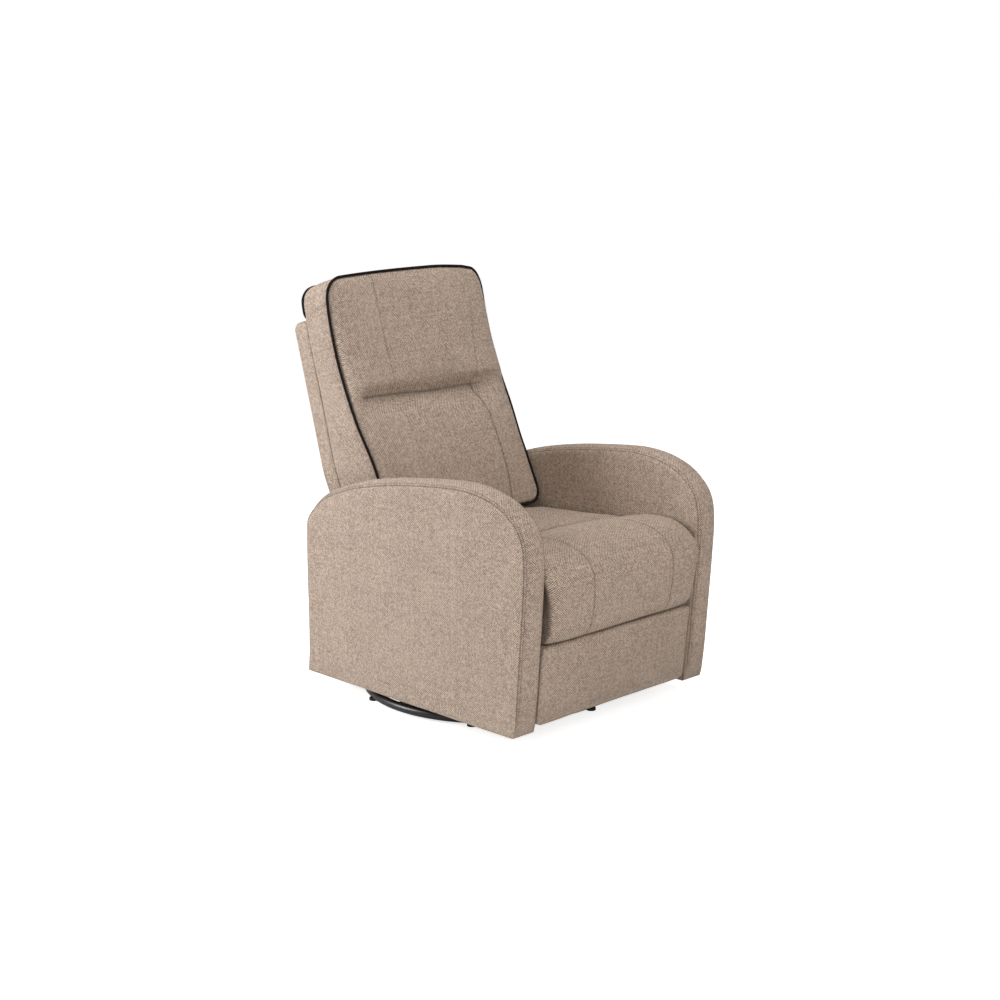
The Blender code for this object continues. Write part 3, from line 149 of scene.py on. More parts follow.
def makers(tree):
    """Two functions for a node tree: one adds a node, the other a piece of arithmetic."""
    def add(kind, inputs=None, **settings):
        node = tree.nodes.new(kind)
        for key, value in settings.items():
            setattr(node, key, value)
        fill(node, inputs or {})
        return node

    def sums(operation, *values):
        return add("ShaderNodeMath", dict(enumerate(values)), operation=operation).outputs[0]

    return add, sums


def material(name):
    """A node material with its Principled shader and its makers of nodes."""
    made = bpy.data.materials.new(name)
    made.use_nodes = True
    return made, made.node_tree.nodes["Principled BSDF"], *makers(made.node_tree)


def colour_mix(add, part, first, second):
    """Mix two colours."""
    return add("ShaderNodeMix", {0: part, 6: first, 7: second}, data_type="RGBA").outputs[2]


def tinted(colour, tint):
    """A colour times a tint, which is three factors or one, with full alpha."""
    return (*np.multiply(colour, tint).tolist(), 1)


def woven(name, dark, light, pitch=0.0014, sheen=0.05):
    """A tweed: a basket weave of light and dark threads, heathered, darkened along its seams and with
    painted shade in its creases and crevices.
    """
    made, shader, add, sums = material(name)
    place = add("ShaderNodeUVMap", uv_map="weave").outputs[0]

    def clouds(scale, detail):
        return add("ShaderNodeTexNoise", {"Vector": place, "Scale": scale, "Detail": detail}).outputs

    def vectors(operation, inputs):
        return add("ShaderNodeVectorMath", inputs, operation=operation).outputs[0]

    wander = vectors("SUBTRACT", {0: clouds(38.0, 2.0)["Color"], 1: (0.5, 0.5, 0.5)})
    bent = vectors("ADD", {0: place, 1: vectors("SCALE", {0: wander, "Scale": 0.0012})})
    axes = add("ShaderNodeSeparateXYZ", {0: vectors("SCALE", {0: bent, "Scale": 1 / pitch})}).outputs
    threads = (axes[0], axes[1])
    ridges = [sums("ABSOLUTE", sums("SINE", sums("MULTIPLY", axis, math.pi))) for axis in threads]
    pairs = [sums("FLOOR", sums("MULTIPLY", axis, 0.5)) for axis in threads]
    over = sums("ABSOLUTE", sums("MODULO", sums("ADD", *pairs), 2.0))
    warp = sums("MULTIPLY", ridges[0], sums("ADD", 0.45, sums("MULTIPLY", over, 0.55)))
    weft = sums("MULTIPLY", ridges[1], sums("SUBTRACT", 1.0, sums("MULTIPLY", over, 0.55)))
    height = sums("MAXIMUM", warp, weft)

    cell = add("ShaderNodeCombineXYZ", dict(enumerate(pairs))).outputs[0]
    noises = add("ShaderNodeTexWhiteNoise", {"Vector": cell}, noise_dimensions="2D").outputs
    speck, hue = noises["Value"], add("ShaderNodeSeparateXYZ", {0: noises["Color"]}).outputs[1]
    column, row = sums("FLOOR", threads[0]), sums("ADD", sums("FLOOR", threads[1]), 0.37)
    warps, wefts = [add("ShaderNodeTexWhiteNoise", {"W": count}, noise_dimensions="1D").outputs[0]
                    for count in (column, row)]
    blotch, broad = clouds(130.0, 3.0)[0], clouds(8.0, 2.0)[0]
    mixed = sums("SUBTRACT", sums("MULTIPLY", speck, 0.46), 0.11)
    shares = ((over, 0.0, 0.54), (warps, 0.0, 0.09), (wefts, 0.0, 0.09), (blotch, 0.0, 0.09),
              (height, 0.80, 0.34), (broad, 0.5, 0.14))
    for part, level, share in shares:
        mixed = sums("ADD", mixed, sums("MULTIPLY", sums("SUBTRACT", part, level), share))

    warm, cool = (1.02, 0.99, 0.95), (0.98, 1.005, 1.03)
    shades = [colour_mix(add, hue, tinted(shade, warm), tinted(shade, cool)) for shade in (dark, light)]
    seam = add("ShaderNodeAttribute", attribute_name="seam").outputs["Fac"]
    colour = colour_mix(add, mixed, *shades)
    # Seam lines and painted shade in creases and crevices: the mesh's attribute mixes in a dark colour.
    colour = colour_mix(add, sums("MULTIPLY", seam, 0.60), colour, tinted(dark, 0.25))
    relief = sums("ADD", height, sums("MULTIPLY", clouds(1400.0, 2.0)[0], 0.35))
    relief = sums("ADD", relief, sums("MULTIPLY", speck, 0.35))
    bump = add("ShaderNodeBump", {"Height": relief, "Distance": 0.0006, "Strength": 0.7})
    rough = sums("ADD", 0.80, sums("MULTIPLY", speck, 0.15))
    fill(shader, {"Base Color": colour, "Roughness": rough, "Normal": bump.outputs[0],
                  "Sheen Weight": sheen, "Sheen Roughness": 0.5, "Specular IOR Level": 0.2})
    return made


def steel(name, colour, roughness, metallic, scale, vary=0.12, bumps=0.00004, coat=0.0, stretch=(1, 1, 1)):
    """Painted or plated steel, or smooth plastic, with uneven gloss."""
    made, shader, add, sums = material(name)
    place = add("ShaderNodeTexCoord").outputs["Object"]
    place = add("ShaderNodeMapping", {"Vector": place, "Scale": stretch}).outputs[0]
    broad = add("ShaderNodeTexNoise", {"Vector": place, "Scale": scale, "Detail": 4.0}).outputs[0]
    fine = add("ShaderNodeTexNoise", {"Vector": place, "Scale": scale * 14, "Detail": 2.0}).outputs[0]
    bump = add("ShaderNodeBump", {"Height": fine, "Distance": bumps, "Strength": 0.6})
    fill(shader, {"Base Color": colour_mix(add, broad, tinted(colour, 1 - vary), tinted(colour, 1 + vary)),
                  "Roughness": sums("ADD", roughness - 0.08, sums("MULTIPLY", broad, 0.16)),
                  "Metallic": metallic, "Coat Weight": coat, "Coat Roughness": 0.12,
                  "Normal": bump.outputs[0]})
    return made


def grained_wood(name):
    """Plain plywood with long grain and fine pores."""
    made, shader, add, sums = material(name)
    place = add("ShaderNodeTexCoord").outputs["Object"]
    long = add("ShaderNodeMapping", {"Vector": place, "Scale": (60.0, 4.0, 60.0)}).outputs[0]
    grain = {"Vector": long, "Scale": 1.0, "Detail": 6.0, "Distortion": 0.6}
    grain = add("ShaderNodeTexNoise", grain).outputs[0]
    pores = add("ShaderNodeTexNoise", {"Vector": long, "Scale": 9.0, "Detail": 3.0}).outputs[0]
    ramp = add("ShaderNodeValToRGB", {0: grain})
    for element, colour in zip(ramp.color_ramp.elements, ((0.42, 0.27, 0.14, 1), (0.72, 0.54, 0.34, 1))):
        element.color = colour
    bump = add("ShaderNodeBump", {"Height": sums("ADD", grain, pores), "Distance": 0.0002, "Strength": 0.5})
    fill(shader, {"Base Color": ramp.outputs[0], "Normal": bump.outputs[0],
                  "Roughness": sums("ADD", 0.62, sums("MULTIPLY", pores, 0.25))})
    return made


FABRIC = woven("tweed fabric", (0.105, 0.075, 0.056), (0.735, 0.590, 0.485))
THREAD = woven("seam thread", (0.12, 0.085, 0.06), (0.26, 0.20, 0.155), pitch=0.0006)
CORD = woven("dark piping fabric", (0.004, 0.0022, 0.0015), (0.018, 0.010, 0.0075), 0.0009, sheen=0.0)
LOOKS = {
    "upholstery": FABRIC,
    "piping": CORD,
    "black_steel": steel("gloss black paint", (0.005, 0.005, 0.0055), 0.38, 0.0, 22, 0.2, 0.00003,
                         coat=0.15),
    "zinc_steel": steel("zinc plating", (0.60, 0.60, 0.58), 0.34, 1.0, 45, 0.16, 0.00003),
    "spring_steel": steel("drawn spring wire", (0.26, 0.26, 0.27), 0.42, 1.0, 70, 0.2, 0.00005,
                          stretch=(1, 6, 1)),
    "glide_plastic": steel("moulded glide plastic", (0.018, 0.018, 0.018), 0.52, 0.0, 60, 0.2, 0.0001),
    "frame_wood": grained_wood("plywood")}


# Shapes that every piece uses
def smooth_step(low, high, where):
    """From 0 at the first place to 1 at the second, level at both."""
    part = np.clip((np.asarray(where, float) - low) / (high - low), 0, 1)
    return part * part * (3 - 2 * part)


def puff(share, power, edge):
    """From 1 in the middle to 0 where the share is 1 or -1."""
    return (1 - np.minimum(1, np.abs(share)) ** power) ** edge


def dip(where, centre, half_width):
    """From 1 at a place to 0 far from it."""
    return np.exp(-((np.asarray(where, float) - centre) / half_width) ** 2)


def closed(line):
    """A line with its first place again at its end."""
    return np.concatenate([line, line[:1]])


def lengths(line):
    """Distance run at each place of a line."""
    steps = np.linalg.norm(np.diff(np.asarray(line, float), axis=0), axis=1)
    return np.concatenate([[0], np.cumsum(steps)])


def evenly(line, step):
    """Even places along a broken line, ends kept."""
    line = np.asarray(line, float)
    far = lengths(line)
    at = np.linspace(0, far[-1], max(2, int(round(far[-1] / step)) + 1))
    return np.stack([np.interp(at, far, line[:, i]) for i in range(line.shape[1])], 1)


def marks(stops, step):
    """Rising values through every stop, about a step apart."""
    made = [stops[0]]
    for low, high in zip(stops, stops[1:]):
        made += list(np.linspace(low, high, max(2, int(round((high - low) / step)) + 1))[1:])
    return np.array(made)


def curve_through(points, step):
    """Even places along a smooth curve through the points."""
    points = np.asarray(points, float)
    points = np.vstack([2 * points[0] - points[1], points, 2 * points[-1] - points[-2]])
    made = []
    for a, b, c, d in zip(points, points[1:], points[2:], points[3:]):
        t0, t1 = 0, np.linalg.norm(b - a) ** 0.5
        t2 = t1 + np.linalg.norm(c - b) ** 0.5
        t3 = t2 + np.linalg.norm(d - c) ** 0.5
        for t in np.linspace(t1, t2, 12, endpoint=False):
            ab = (t1 - t) / (t1 - t0) * a + (t - t0) / (t1 - t0) * b
            bc = (t2 - t) / (t2 - t1) * b + (t - t1) / (t2 - t1) * c
            cd = (t3 - t) / (t3 - t2) * c + (t - t2) / (t3 - t2) * d
            abc = (t2 - t) / (t2 - t0) * ab + (t - t0) / (t2 - t0) * bc
            bcd = (t3 - t) / (t3 - t1) * bc + (t - t1) / (t3 - t1) * cd
            made.append((t2 - t) / (t2 - t1) * abc + (t - t1) / (t2 - t1) * bcd)
    made.append(points[-2])
    return evenly(made, step)


def outwards(ring):
    """Unit normals of a closed ring in its plane, away from its inside."""
    run = np.roll(ring, -1, 0) - np.roll(ring, 1, 0)
    normal = np.stack([-run[:, 1], run[:, 0]], 1)
    normal /= np.linalg.norm(normal, axis=1)[:, None]
    return -normal if (normal[0] * (ring[0] - ring.mean(0))).sum() < 0 else normal


def far_apart(spots, ring):
    """Distance of every spot from every place of a ring, all in one plane."""
    return np.sqrt(((spots[:, None] - ring[None]) ** 2).sum(2))


def in_parts(work, places):
    """What work makes of places in a plane, some hundred of them at a time."""
    flat = places.reshape(-1, 2)
    found = [work(part) for part in np.array_split(flat, max(1, len(flat) // 400))]
    return np.concatenate(found).reshape(places.shape[:-1])


def from_edge(places, ring):
    """Distance of rows of places from a ring, of which the first row is a part."""
    away = in_parts(lambda spots: far_apart(spots, ring).min(1), places)
    away[0] = 0
    return away


def softly_from_edge(places, ring, reach=0.014):
    """Like the distance from a ring, but rounded where two sides are equally near."""
    def near(spots):
        return -reach * np.log(np.exp(-far_apart(spots, ring) / reach).mean(1))

    away = np.maximum(0, in_parts(near, places) - np.median(near(ring)))
    away[0] = 0
    return away


def towards(centre, ring, shares):
    """Rows of places from a closed ring towards its centre."""
    return centre + (ring - centre)[None] * np.asarray(shares)[:, None, None]


class Skin:
    """A mesh gathered from grids of places, each with its own cloth coordinates."""

    def __init__(self):
        self.places, self.faces, self.cloth, self.values, self.count = [], [], [], [], 0

    def grid(self, places, cloth, seam=0.0, pin=0.0):
        """Add rows of places, with how sewn and darkened each one is, by seams and painted shade, and how
        firmly held.
        """
        places = np.asarray(places, float)
        size = places.shape[:2]
        index = self.count + np.arange(size[0] * size[1]).reshape(size)
        quads = np.stack([index[:-1, :-1], index[:-1, 1:], index[1:, 1:], index[1:, :-1]], -1)
        values = np.stack([np.broadcast_to(seam, size), np.broadcast_to(pin, size)], -1)
        self.places.append(places.reshape(-1, 3))
        self.cloth.append(np.broadcast_to(cloth, (*size, 2)).reshape(-1, 2))
        self.values.append(values.reshape(-1, 2))
        self.faces.append(quads.reshape(-1, 4))
        self.count += index.size

    def lid(self, ring, cloth, centre):
        """Close a ring of places at its middle."""
        self.grid([ring, np.broadcast_to(centre, ring.shape)],
                  [cloth, np.broadcast_to(cloth.mean(0), cloth.shape)])

    def make(self, name, look):
        """Make the mesh, with its doubled places joined."""
        places, cloth = np.vstack(self.places), np.vstack(self.cloth)
        values, faces = np.vstack(self.values), np.vstack(self.faces)
        mesh = bpy.data.meshes.new(name)
        mesh.from_pydata(places.tolist(), [], faces.tolist())
        layer = mesh.uv_layers.new(name="weave")
        layer.uv.foreach_set("vector", cloth[faces.ravel()].astype(np.float32).ravel())
        for index, key in enumerate(("seam", "pin")):
            data = mesh.attributes.new(key, "FLOAT", "POINT").data
            data.foreach_set("value", values[:, index].astype(np.float32))
        shape = bmesh.new()
        shape.from_mesh(mesh)
        bmesh.ops.remove_doubles(shape, verts=shape.verts, dist=0.00002)
        bmesh.ops.recalc_face_normals(shape, faces=shape.faces)
        shape.to_mesh(mesh)
        shape.free()
        mesh.shade_smooth()
        return put(name, mesh, look)


def put(name, mesh, look):
    """Link a mesh object with its material."""
    mesh.materials.clear()
    mesh.materials.append(look)
    thing = bpy.data.objects.new(name, mesh)
    bpy.context.scene.collection.objects.link(thing)
    return thing


def dress(thing, body, slot, *nodes):
    """Let a piece ride on a body and stand for CAD nodes; the slot is not used."""
    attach(thing, body)
    if nodes:
        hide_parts(*nodes)


def apply_modifiers(thing):
    """Swap a mesh for what its modifiers make of it."""
    bpy.context.view_layer.update()
    seen = thing.evaluated_get(bpy.context.evaluated_depsgraph_get())
    mesh = bpy.data.meshes.new_from_object(seen)
    thing.modifiers.clear()
    old, thing.data = thing.data, mesh
    bpy.data.meshes.remove(old)


def numbers_of(items, key, width=1):
    """A number, or a row of them, from each item of a mesh."""
    found = np.empty(len(items) * width, np.float32)
    items.foreach_get(key, found)
    return found.reshape(-1, width).astype(float).squeeze()


def place_all(mesh, places):
    """Move every place of a mesh."""
    mesh.vertices.foreach_set("co", places.astype(np.float32).ravel())
    mesh.update()


def sew(thing, depth, waves, wave_scale, seed):
    """Sink the seams of a piece and let the cloth between them waver."""
    mesh = thing.data
    places, normals = numbers_of(mesh.vertices, "co", 3), numbers_of(mesh.vertices, "normal", 3)
    seam = numbers_of(mesh.attributes["seam"].data, "value")
    offset = Vector((seed, seed, seed))
    wavering = np.array([noise.noise(Vector(place) * wave_scale + offset) for place in places])
    shift = waves * (1 - seam) * wavering - depth * seam
    place_all(mesh, places + normals * shift[:, None])


def sew_finely(thing, depth, waves, wave_scale, seed):
    """Subdivide a cushion, narrow its seams and sew it."""
    step = thing.modifiers.new("finer", "SUBSURF")
    step.levels = step.render_levels = 1
    apply_modifiers(thing)
    data = thing.data.attributes["seam"].data
    narrow = np.clip(numbers_of(data, "value"), 0, 1) ** 2.2
    data.foreach_set("value", narrow.astype(np.float32))
    sew(thing, depth, waves, wave_scale, seed)
    thing.data.shade_smooth()


def inflate(thing, most):
    """Fill a pinned cushion with air by a cloth simulation, moving no place by more than its most."""
    mesh, scene = thing.data, bpy.context.scene
    start, pin = numbers_of(mesh.vertices, "co", 3), numbers_of(mesh.attributes["pin"].data, "value")
    held = thing.vertex_groups.new(name="held")
    for level in np.unique(np.round(pin, 2)):
        if level > 0:
            held.add(np.nonzero(np.round(pin, 2) == level)[0].tolist(), float(level), "REPLACE")
    cloth = thing.modifiers.new("cloth", "CLOTH")
    wanted = {"quality": 5, "mass": 0.3, "tension_stiffness": 25, "compression_stiffness": 25,
              "shear_stiffness": 12, "bending_stiffness": 1.5, "vertex_group_mass": "held",
              "pin_stiffness": 1.0, "use_pressure": True, "uniform_pressure_force": PRESSURE}
    for key, value in wanted.items():
        setattr(cloth.settings, key, value)
    cloth.settings.effector_weights.gravity = 0
    cloth.collision_settings.use_collision = False
    cloth.point_cache.frame_start, cloth.point_cache.frame_end = 1, FRAMES
    for number in range(1, FRAMES + 1):
        scene.frame_set(number)
    seen = thing.evaluated_get(bpy.context.evaluated_depsgraph_get())
    shift = numbers_of(seen.data.vertices, "co", 3) - start
    thing.modifiers.clear()
    scene.frame_set(1)
    far = np.linalg.norm(shift, axis=1)
    shift *= np.minimum(1, most(start) / np.maximum(far, 1e-9))[:, None]
    place_all(mesh, start + shift)
    thing.vertex_groups.clear()


def tube(name, path, look, radius=PIPING_RADIUS, round_trip=True, sides=10):
    """A round tube along places, with cloth coordinates that run along it."""
    count = len(path)
    if round_trip:
        run = np.roll(path, -1, 0) - np.roll(path, 1, 0)
    else:
        run = np.gradient(path, axis=0)
    run /= np.linalg.norm(run, axis=1)[:, None]
    across = np.cross(run[0], (0.3, 0.2, 0.93))
    frames = []
    for direction in run:
        across = across - direction * across.dot(direction)
        across /= np.linalg.norm(across)
        frames.append((across.copy(), np.cross(direction, across)))
    twist = 0.0
    if round_trip:
        first, last = frames[0][0], frames[-1][0]
        twist = math.atan2(np.cross(last, first).dot(run[0]), last.dot(first))
        path, frames = closed(path), frames + frames[:1]
    turns = np.linspace(0, math.tau, sides + 1)
    rows = []
    for i, (place, (one, two)) in enumerate(zip(path, frames)):
        turn = (turns + twist * (i % count) / count)[:, None]
        rows.append(place + radius * (np.cos(turn) * one + np.sin(turn) * two))
    cloth = np.stack(np.meshgrid(turns * radius, lengths(path)), -1)
    skin = Skin()
    skin.grid(rows, cloth)
    if not round_trip:
        for end in (0, -1):
            skin.lid(rows[end], cloth[end], path[end])
    return skin.make(name, look)


def stitches(name, path, normals, look):
    """A row of short threads lying along places on a surface."""
    far = lengths(path)
    shares, turns = np.linspace(0, 1, 5), np.linspace(0, math.tau, 7)
    rise = STITCH_LIFT + STITCH_RADIUS * 1.2 * np.sin(math.pi * shares) - STITCH_RADIUS * 0.6
    width = (STITCH_RADIUS * (0.45 + 0.55 * np.sin(math.pi * shares)))[:, None, None]
    skin = Skin()
    spot = STITCH_GAP
    while spot + STITCH_LENGTH < far[-1]:
        at = spot + STITCH_LENGTH * shares
        middle, normal = [np.stack([np.interp(at, far, line[:, i]) for i in range(3)], 1)
                          for line in (path, normals)]
        normal /= np.linalg.norm(normal, axis=1)[:, None]
        side = np.cross(normal, np.gradient(middle, axis=0))
        side /= np.linalg.norm(side, axis=1)[:, None]
        middle = middle + normal * rise[:, None]
        around = np.cos(turns)[:, None] * side[:, None] + np.sin(turns)[:, None] * normal[:, None]
        rows = middle[:, None] + width * around
        cloth = np.stack(np.meshgrid(turns * STITCH_RADIUS, at), -1)
        skin.grid(rows, cloth)
        for end in (0, -1):
            skin.lid(rows[end], cloth[end], rows[end].mean(0))
        spot += STITCH_LENGTH + STITCH_GAP
    return skin.make(name, look)


def hug(thing, path):
    """Move places onto the nearest spots of a piece, with the normals there."""
    mesh = thing.data
    tree = BVHTree.FromPolygons([v.co for v in mesh.vertices], [p.vertices[:] for p in mesh.polygons])
    found = [tree.find_nearest(Vector(place)) for place in path]
    return np.array([spot[0][:] for spot in found]), np.array([spot[1][:] for spot in found])


def block(sides, outline, place=None):
    """A plain solid that serves as a tool: an outline between two sides."""
    shape = bmesh.new()
    first, second = [[shape.verts.new((x, a, b)) for a, b in outline] for x in sides]
    shape.faces.new(first)
    shape.faces.new(second[::-1])
    for i in range(len(outline)):
        j = (i + 1) % len(outline)
        shape.faces.new((first[j], first[i], second[i], second[j]))
    if place is not None:
        for vertex in shape.verts:
            vertex.co = place(*vertex.co)
    bmesh.ops.recalc_face_normals(shape, faces=shape.faces)
    mesh = bpy.data.meshes.new("tool")
    shape.to_mesh(mesh)
    shape.free()
    mesh.uv_layers.new(name="weave")
    return put("tool", mesh, FABRIC)


def cut(thing, tool):
    """Take a tool's space out of a piece."""
    step = thing.modifiers.new("cut", "BOOLEAN")
    step.operation, step.solver, step.object = "DIFFERENCE", "EXACT", tool
    apply_modifiers(thing)
    bpy.data.objects.remove(tool)


# Arms
def arm_section():
    """Across and rise of the crowned strip over the arm's edge."""
    turn = (1 - np.cos(np.linspace(0, math.pi, 241))) / 2
    rise = (ARM_CROWN + ARM_EDGE_DROP) * puff(2 * turn - 1, 2.5, 0.5)
    return evenly(np.stack([turn * ARM_THICKNESS, rise], 1), FINE_STEP)


def board_space(sign):
    """The space of the board inside an arm, with a little room round it."""
    size = (ARM_FRONT - ARM_REAR, ARM_HIGH - BOARD_LOW)
    outline = np.array((ARM_REAR, BOARD_LOW)) + np.array(BOARD_OUTLINE) * size
    outline += np.array(BOARD_ROOM_WAYS) * BOARD_ROOM
    return block(sorted(sign * place for place in BOARD_SIDES), [(-a, b) for a, b in outline])


def arm_cover(side, sign):
    """The arm's two panels and its crowned strip, with a corner seam and stitching on each side."""
    size = (ARM_FRONT - ARM_REAR, ARM_HIGH - ARM_LOW)
    over = curve_through(np.array((ARM_REAR, ARM_LOW)) + np.array(ARM_OUTLINE) * size, STEP)
    ring = np.vstack([over, evenly([over[-1], over[0]], WIDE_STEP)[1:-1]])
    normal = outwards(ring)
    level = smooth_step(0, 0.15, (ring[:, 1] - ARM_LOW) / (ARM_HIGH - ARM_LOW))
    section = arm_section()
    across, lift = section[:, 0], section[:, 1] - ARM_EDGE_DROP
    far_across = lengths(section)
    rise = lift[None, :, None] * closed(level)[:, None, None]
    flat = closed(ring)[:, None] + closed(normal)[:, None] * rise
    x = np.broadcast_to(sign * (ARM_INNER + across)[None], flat.shape[:2])
    rows = np.stack([x, -flat[..., 0], flat[..., 1]], -1)
    cloth = np.stack(np.broadcast_arrays(lengths(closed(ring))[:, None], far_across[None]), -1)
    past_seam = np.minimum(far_across - ARM_SEAM_IN, far_across[-1] - ARM_SEAM_OUT - far_across)
    seam = dip(past_seam, 0, 0.0015) + 0.28 * dip(past_seam, ARM_STITCH, 0.0018)
    skin = Skin()
    skin.grid(rows, cloth, seam[None])
    edge = ring - normal * (ARM_EDGE_DROP * level)[:, None]
    spots = towards(np.array(ARM_MIDDLE), closed(edge), ARM_PANEL_SHARES)
    out = 1 - np.exp(-from_edge(spots, edge) / 0.010)
    for place, way, swell in ((ARM_INNER, -1, ARM_SWELL_IN), (ARM_INNER + ARM_THICKNESS, 1, ARM_SWELL_OUT)):
        x = sign * (place + way * swell * out)
        skin.grid(np.stack([x, -spots[..., 0], spots[..., 1]], -1), spots + (way * 3.0, 0))
    cover = skin.make(f"arm_cover_{side}", FABRIC)
    sew(cover, depth=0.0010, waves=0.0009, wave_scale=7.0, seed=3.0 * sign)
    cut(cover, board_space(sign))
    dress(cover, "chassis", "upholstery", f"arm_{side}")
    stitch_in, stitch_out = ARM_SEAM_IN + ARM_STITCH, far_across[-1] - ARM_SEAM_OUT - ARM_STITCH
    for edge_name, run_in in (("inner", stitch_in), ("outer", stitch_out)):
        column = int(np.argmin(abs(far_across - run_in)))
        path, normals = hug(cover, rows[8:len(over) - 6, column])
        thread = stitches(f"arm_stitching_{edge_name}_{side}", path, normals, THREAD)
        dress(thread, "chassis", "upholstery")


# Seat
def seat_ring():
    """The seat's outline, with the rows of its cross seam and lip and half the rows of its rear."""
    dense = curve_through(SEAT_TOP_LINE, 0.001)
    split = int(np.argmin(np.abs(dense[:, 0] - SEAT_SEAM_FORWARD)[:len(dense) // 2]))
    low_front, low_rear = SEAT_BASE
    pieces = [evenly(dense[:split + 1], STEP), evenly(dense[split:], STEP),
              evenly([dense[-1], low_front], STEP), evenly([low_front, low_rear], WIDE_STEP),
              evenly([low_rear, dense[0]], 0.008)]
    if sum(len(piece) - 1 for piece in pieces) % 2:
        pieces[3] = np.linspace(low_front, low_rear, len(pieces[3]) + 1)
    ring = np.vstack([pieces[0]] + [piece[1:] for piece in pieces[1:]])[:-1]
    cross_row = len(pieces[0]) - 1
    return ring, cross_row, cross_row + len(pieces[1]) - 1, len(pieces[4]) // 2


def seat_form(ring, x):
    """The seat's cloth from the side and across, bent at its seam and swollen at its nose."""
    side = np.abs(x)[None] / SEAT_HALF
    ahead, up = closed(ring)[:, :1], closed(ring)[:, 1:]
    level = smooth_step(0, 0.30, (up - SEAT_LIP_UP) / SEAT_RISE)
    inset = SEAT_EDGE_INSET * (1 - puff(side, 8, 0.5)) + SEAT_SIDE_INSET * side ** 2
    flat = closed(ring)[:, None] - closed(outwards(ring))[:, None] * (inset * level)[..., None]
    flat[..., 0] -= NOSE_CORNER * (1 - puff(side, 7, 0.5)) * smooth_step(0.330, 0.445, ahead)
    near_seam = dip(ahead, SEAT_SEAM_FORWARD, 0.085) * smooth_step(0.40, 0.42, up)
    flat[..., 0] -= SEAT_SEAM_BEND * (1 - side ** 2) * near_seam
    swell = NOSE_SWELL * dip(up, 0.405, 0.040) * smooth_step(0.432, 0.450, ahead)
    tuck = NOSE_TUCK * (1 - smooth_step(0.255, 0.345, up)) * smooth_step(0.36, 0.42, ahead)
    return flat, x[None] + np.sign(x)[None] * side ** 6 * (swell - tuck)


def seat_seams(ring, x, cross_row, lip_row):
    """How deeply each place of the seat is sewn and darkened, by seams and painted shade, and how firmly it
    is held while the cushion fills.
    """
    ahead, up = closed(ring).T
    seam = np.zeros((len(ahead), len(x)))
    for place in SEAT_SEAMS:
        seam[cross_row:lip_row - 3, int(np.argmin(abs(x - place)))] = 0.85
    # Painted shade down the sides of the nose, in the crevice next to the arms, over a faint seam line at
    # the edge.
    seam[:, 0] = seam[:, -1] = 0.3 + 1.2 * smooth_step(0.43, 0.38, up) * smooth_step(0.38, 0.42, ahead)
    # The cross seam widened into a band of painted shade, where the valley behind the nose lies.
    seam[cross_row - 2:cross_row + 2] = ((0.5,), (0.8,), (1.3,), (0.8,))
    pin = np.minimum(1, np.ceil(seam))
    pin[cross_row - 1] = pin[cross_row + 1] = 0.5
    pin[lip_row:] = 1
    pin[lip_row - 4:lip_row] = np.maximum(pin[lip_row - 4:lip_row], 0.4)
    pin[0] = 1
    return seam, pin


def seat_side(skin, way, ring, edge):
    """One side of the seat, closed towards a middle line, from a ring that starts at the rear."""
    half_way = len(ring) // 2
    part = np.abs(np.arange(len(ring)) - half_way)[:, None] / half_way
    front, rear = np.array(SEAT_SIDE_MIDDLES)
    spots = towards(front * (1 - part) + rear * part, ring, SEAT_SIDE_SHARES)
    inner = np.exp(-from_edge(spots, ring) / 0.012)
    face = way * (SEAT_HALF + SEAT_SIDE_SWELL) * (1 - inner) + edge[None] * inner
    # Painted shade over the outer rows of each side, which lies in the crevice next to the arm.
    painted_side_shade = 1.0 * (np.arange(len(SEAT_SIDE_SHARES)) < 7)[:, None]
    skin.grid(np.stack([face, -spots[..., 0], spots[..., 1]], -1), spots + (way * 2.0, 0), painted_side_shade, 1.0)


def seat_cushion():
    """The seat with its rolled nose in three sections in front of a cross seam."""
    ring, cross_row, lip_row, turned = seat_ring()
    x = marks((-SEAT_HALF, *SEAT_SEAMS, SEAT_HALF), STEP)
    flat, across = seat_form(ring, x)
    seam, pin = seat_seams(ring, x, cross_row, lip_row)
    cloth = np.stack(np.broadcast_arrays(lengths(closed(ring))[:, None], x[None]), -1)
    skin = Skin()
    skin.grid(np.stack([across, -flat[..., 0], flat[..., 1]], -1), cloth, seam, pin)
    for column, way in ((0, -1), (-1, 1)):
        ring_here, edge_here = flat[:-1, column], across[:-1, column]
        seat_side(skin, way, closed(np.roll(ring_here, turned, axis=0)), closed(np.roll(edge_here, turned)))
    cushion = skin.make("seat_cover", FABRIC)

    def most(places):
        return np.where(-places[:, 1] < SEAT_SEAM_FORWARD, SEAT_FILL_BEHIND, SEAT_FILL_AHEAD)

    inflate(cushion, most)
    sew_finely(cushion, depth=0.0022, waves=0.0011, wave_scale=11.0, seed=1.7)
    dress(cushion, "seat", "upholstery", "seat_cushion")


# Back
DEPTH_CURVE = curve_through(CUSHION_DEPTHS, 0.01)


def back_place(x, along, depth):
    """Places on the back, from across it, along it and in front of its outer face."""
    x, along, depth = np.broadcast_arrays(x, along, depth)
    across = np.stack([x, np.zeros_like(x), np.zeros_like(x)], -1)
    return BACK_START + along[..., None] * ALONG + depth[..., None] * TO_FRONT + across


def corner_drop(distance, radius):
    """How far a round corner falls at a distance past its start."""
    return radius - np.sqrt(radius ** 2 - np.clip(distance, 0, radius) ** 2)


def shell_half(along):
    """Half width of the outer back, wider above the arms."""
    wider = smooth_step(0.30 * SHELL_LENGTH, 0.46 * SHELL_LENGTH, along)
    return SHELL_HALF_LOW + (SHELL_HALF_HIGH - SHELL_HALF_LOW) * wider


def cushion_half(along):
    """Half width of the back cushion's front, wider above the arms."""
    share = (along - CUSHION_LOW) / (CUSHION_HIGH - CUSHION_LOW)
    return CUSHION_HALF_LOW + CUSHION_SPREAD * smooth_step(0.25, 0.45, share)


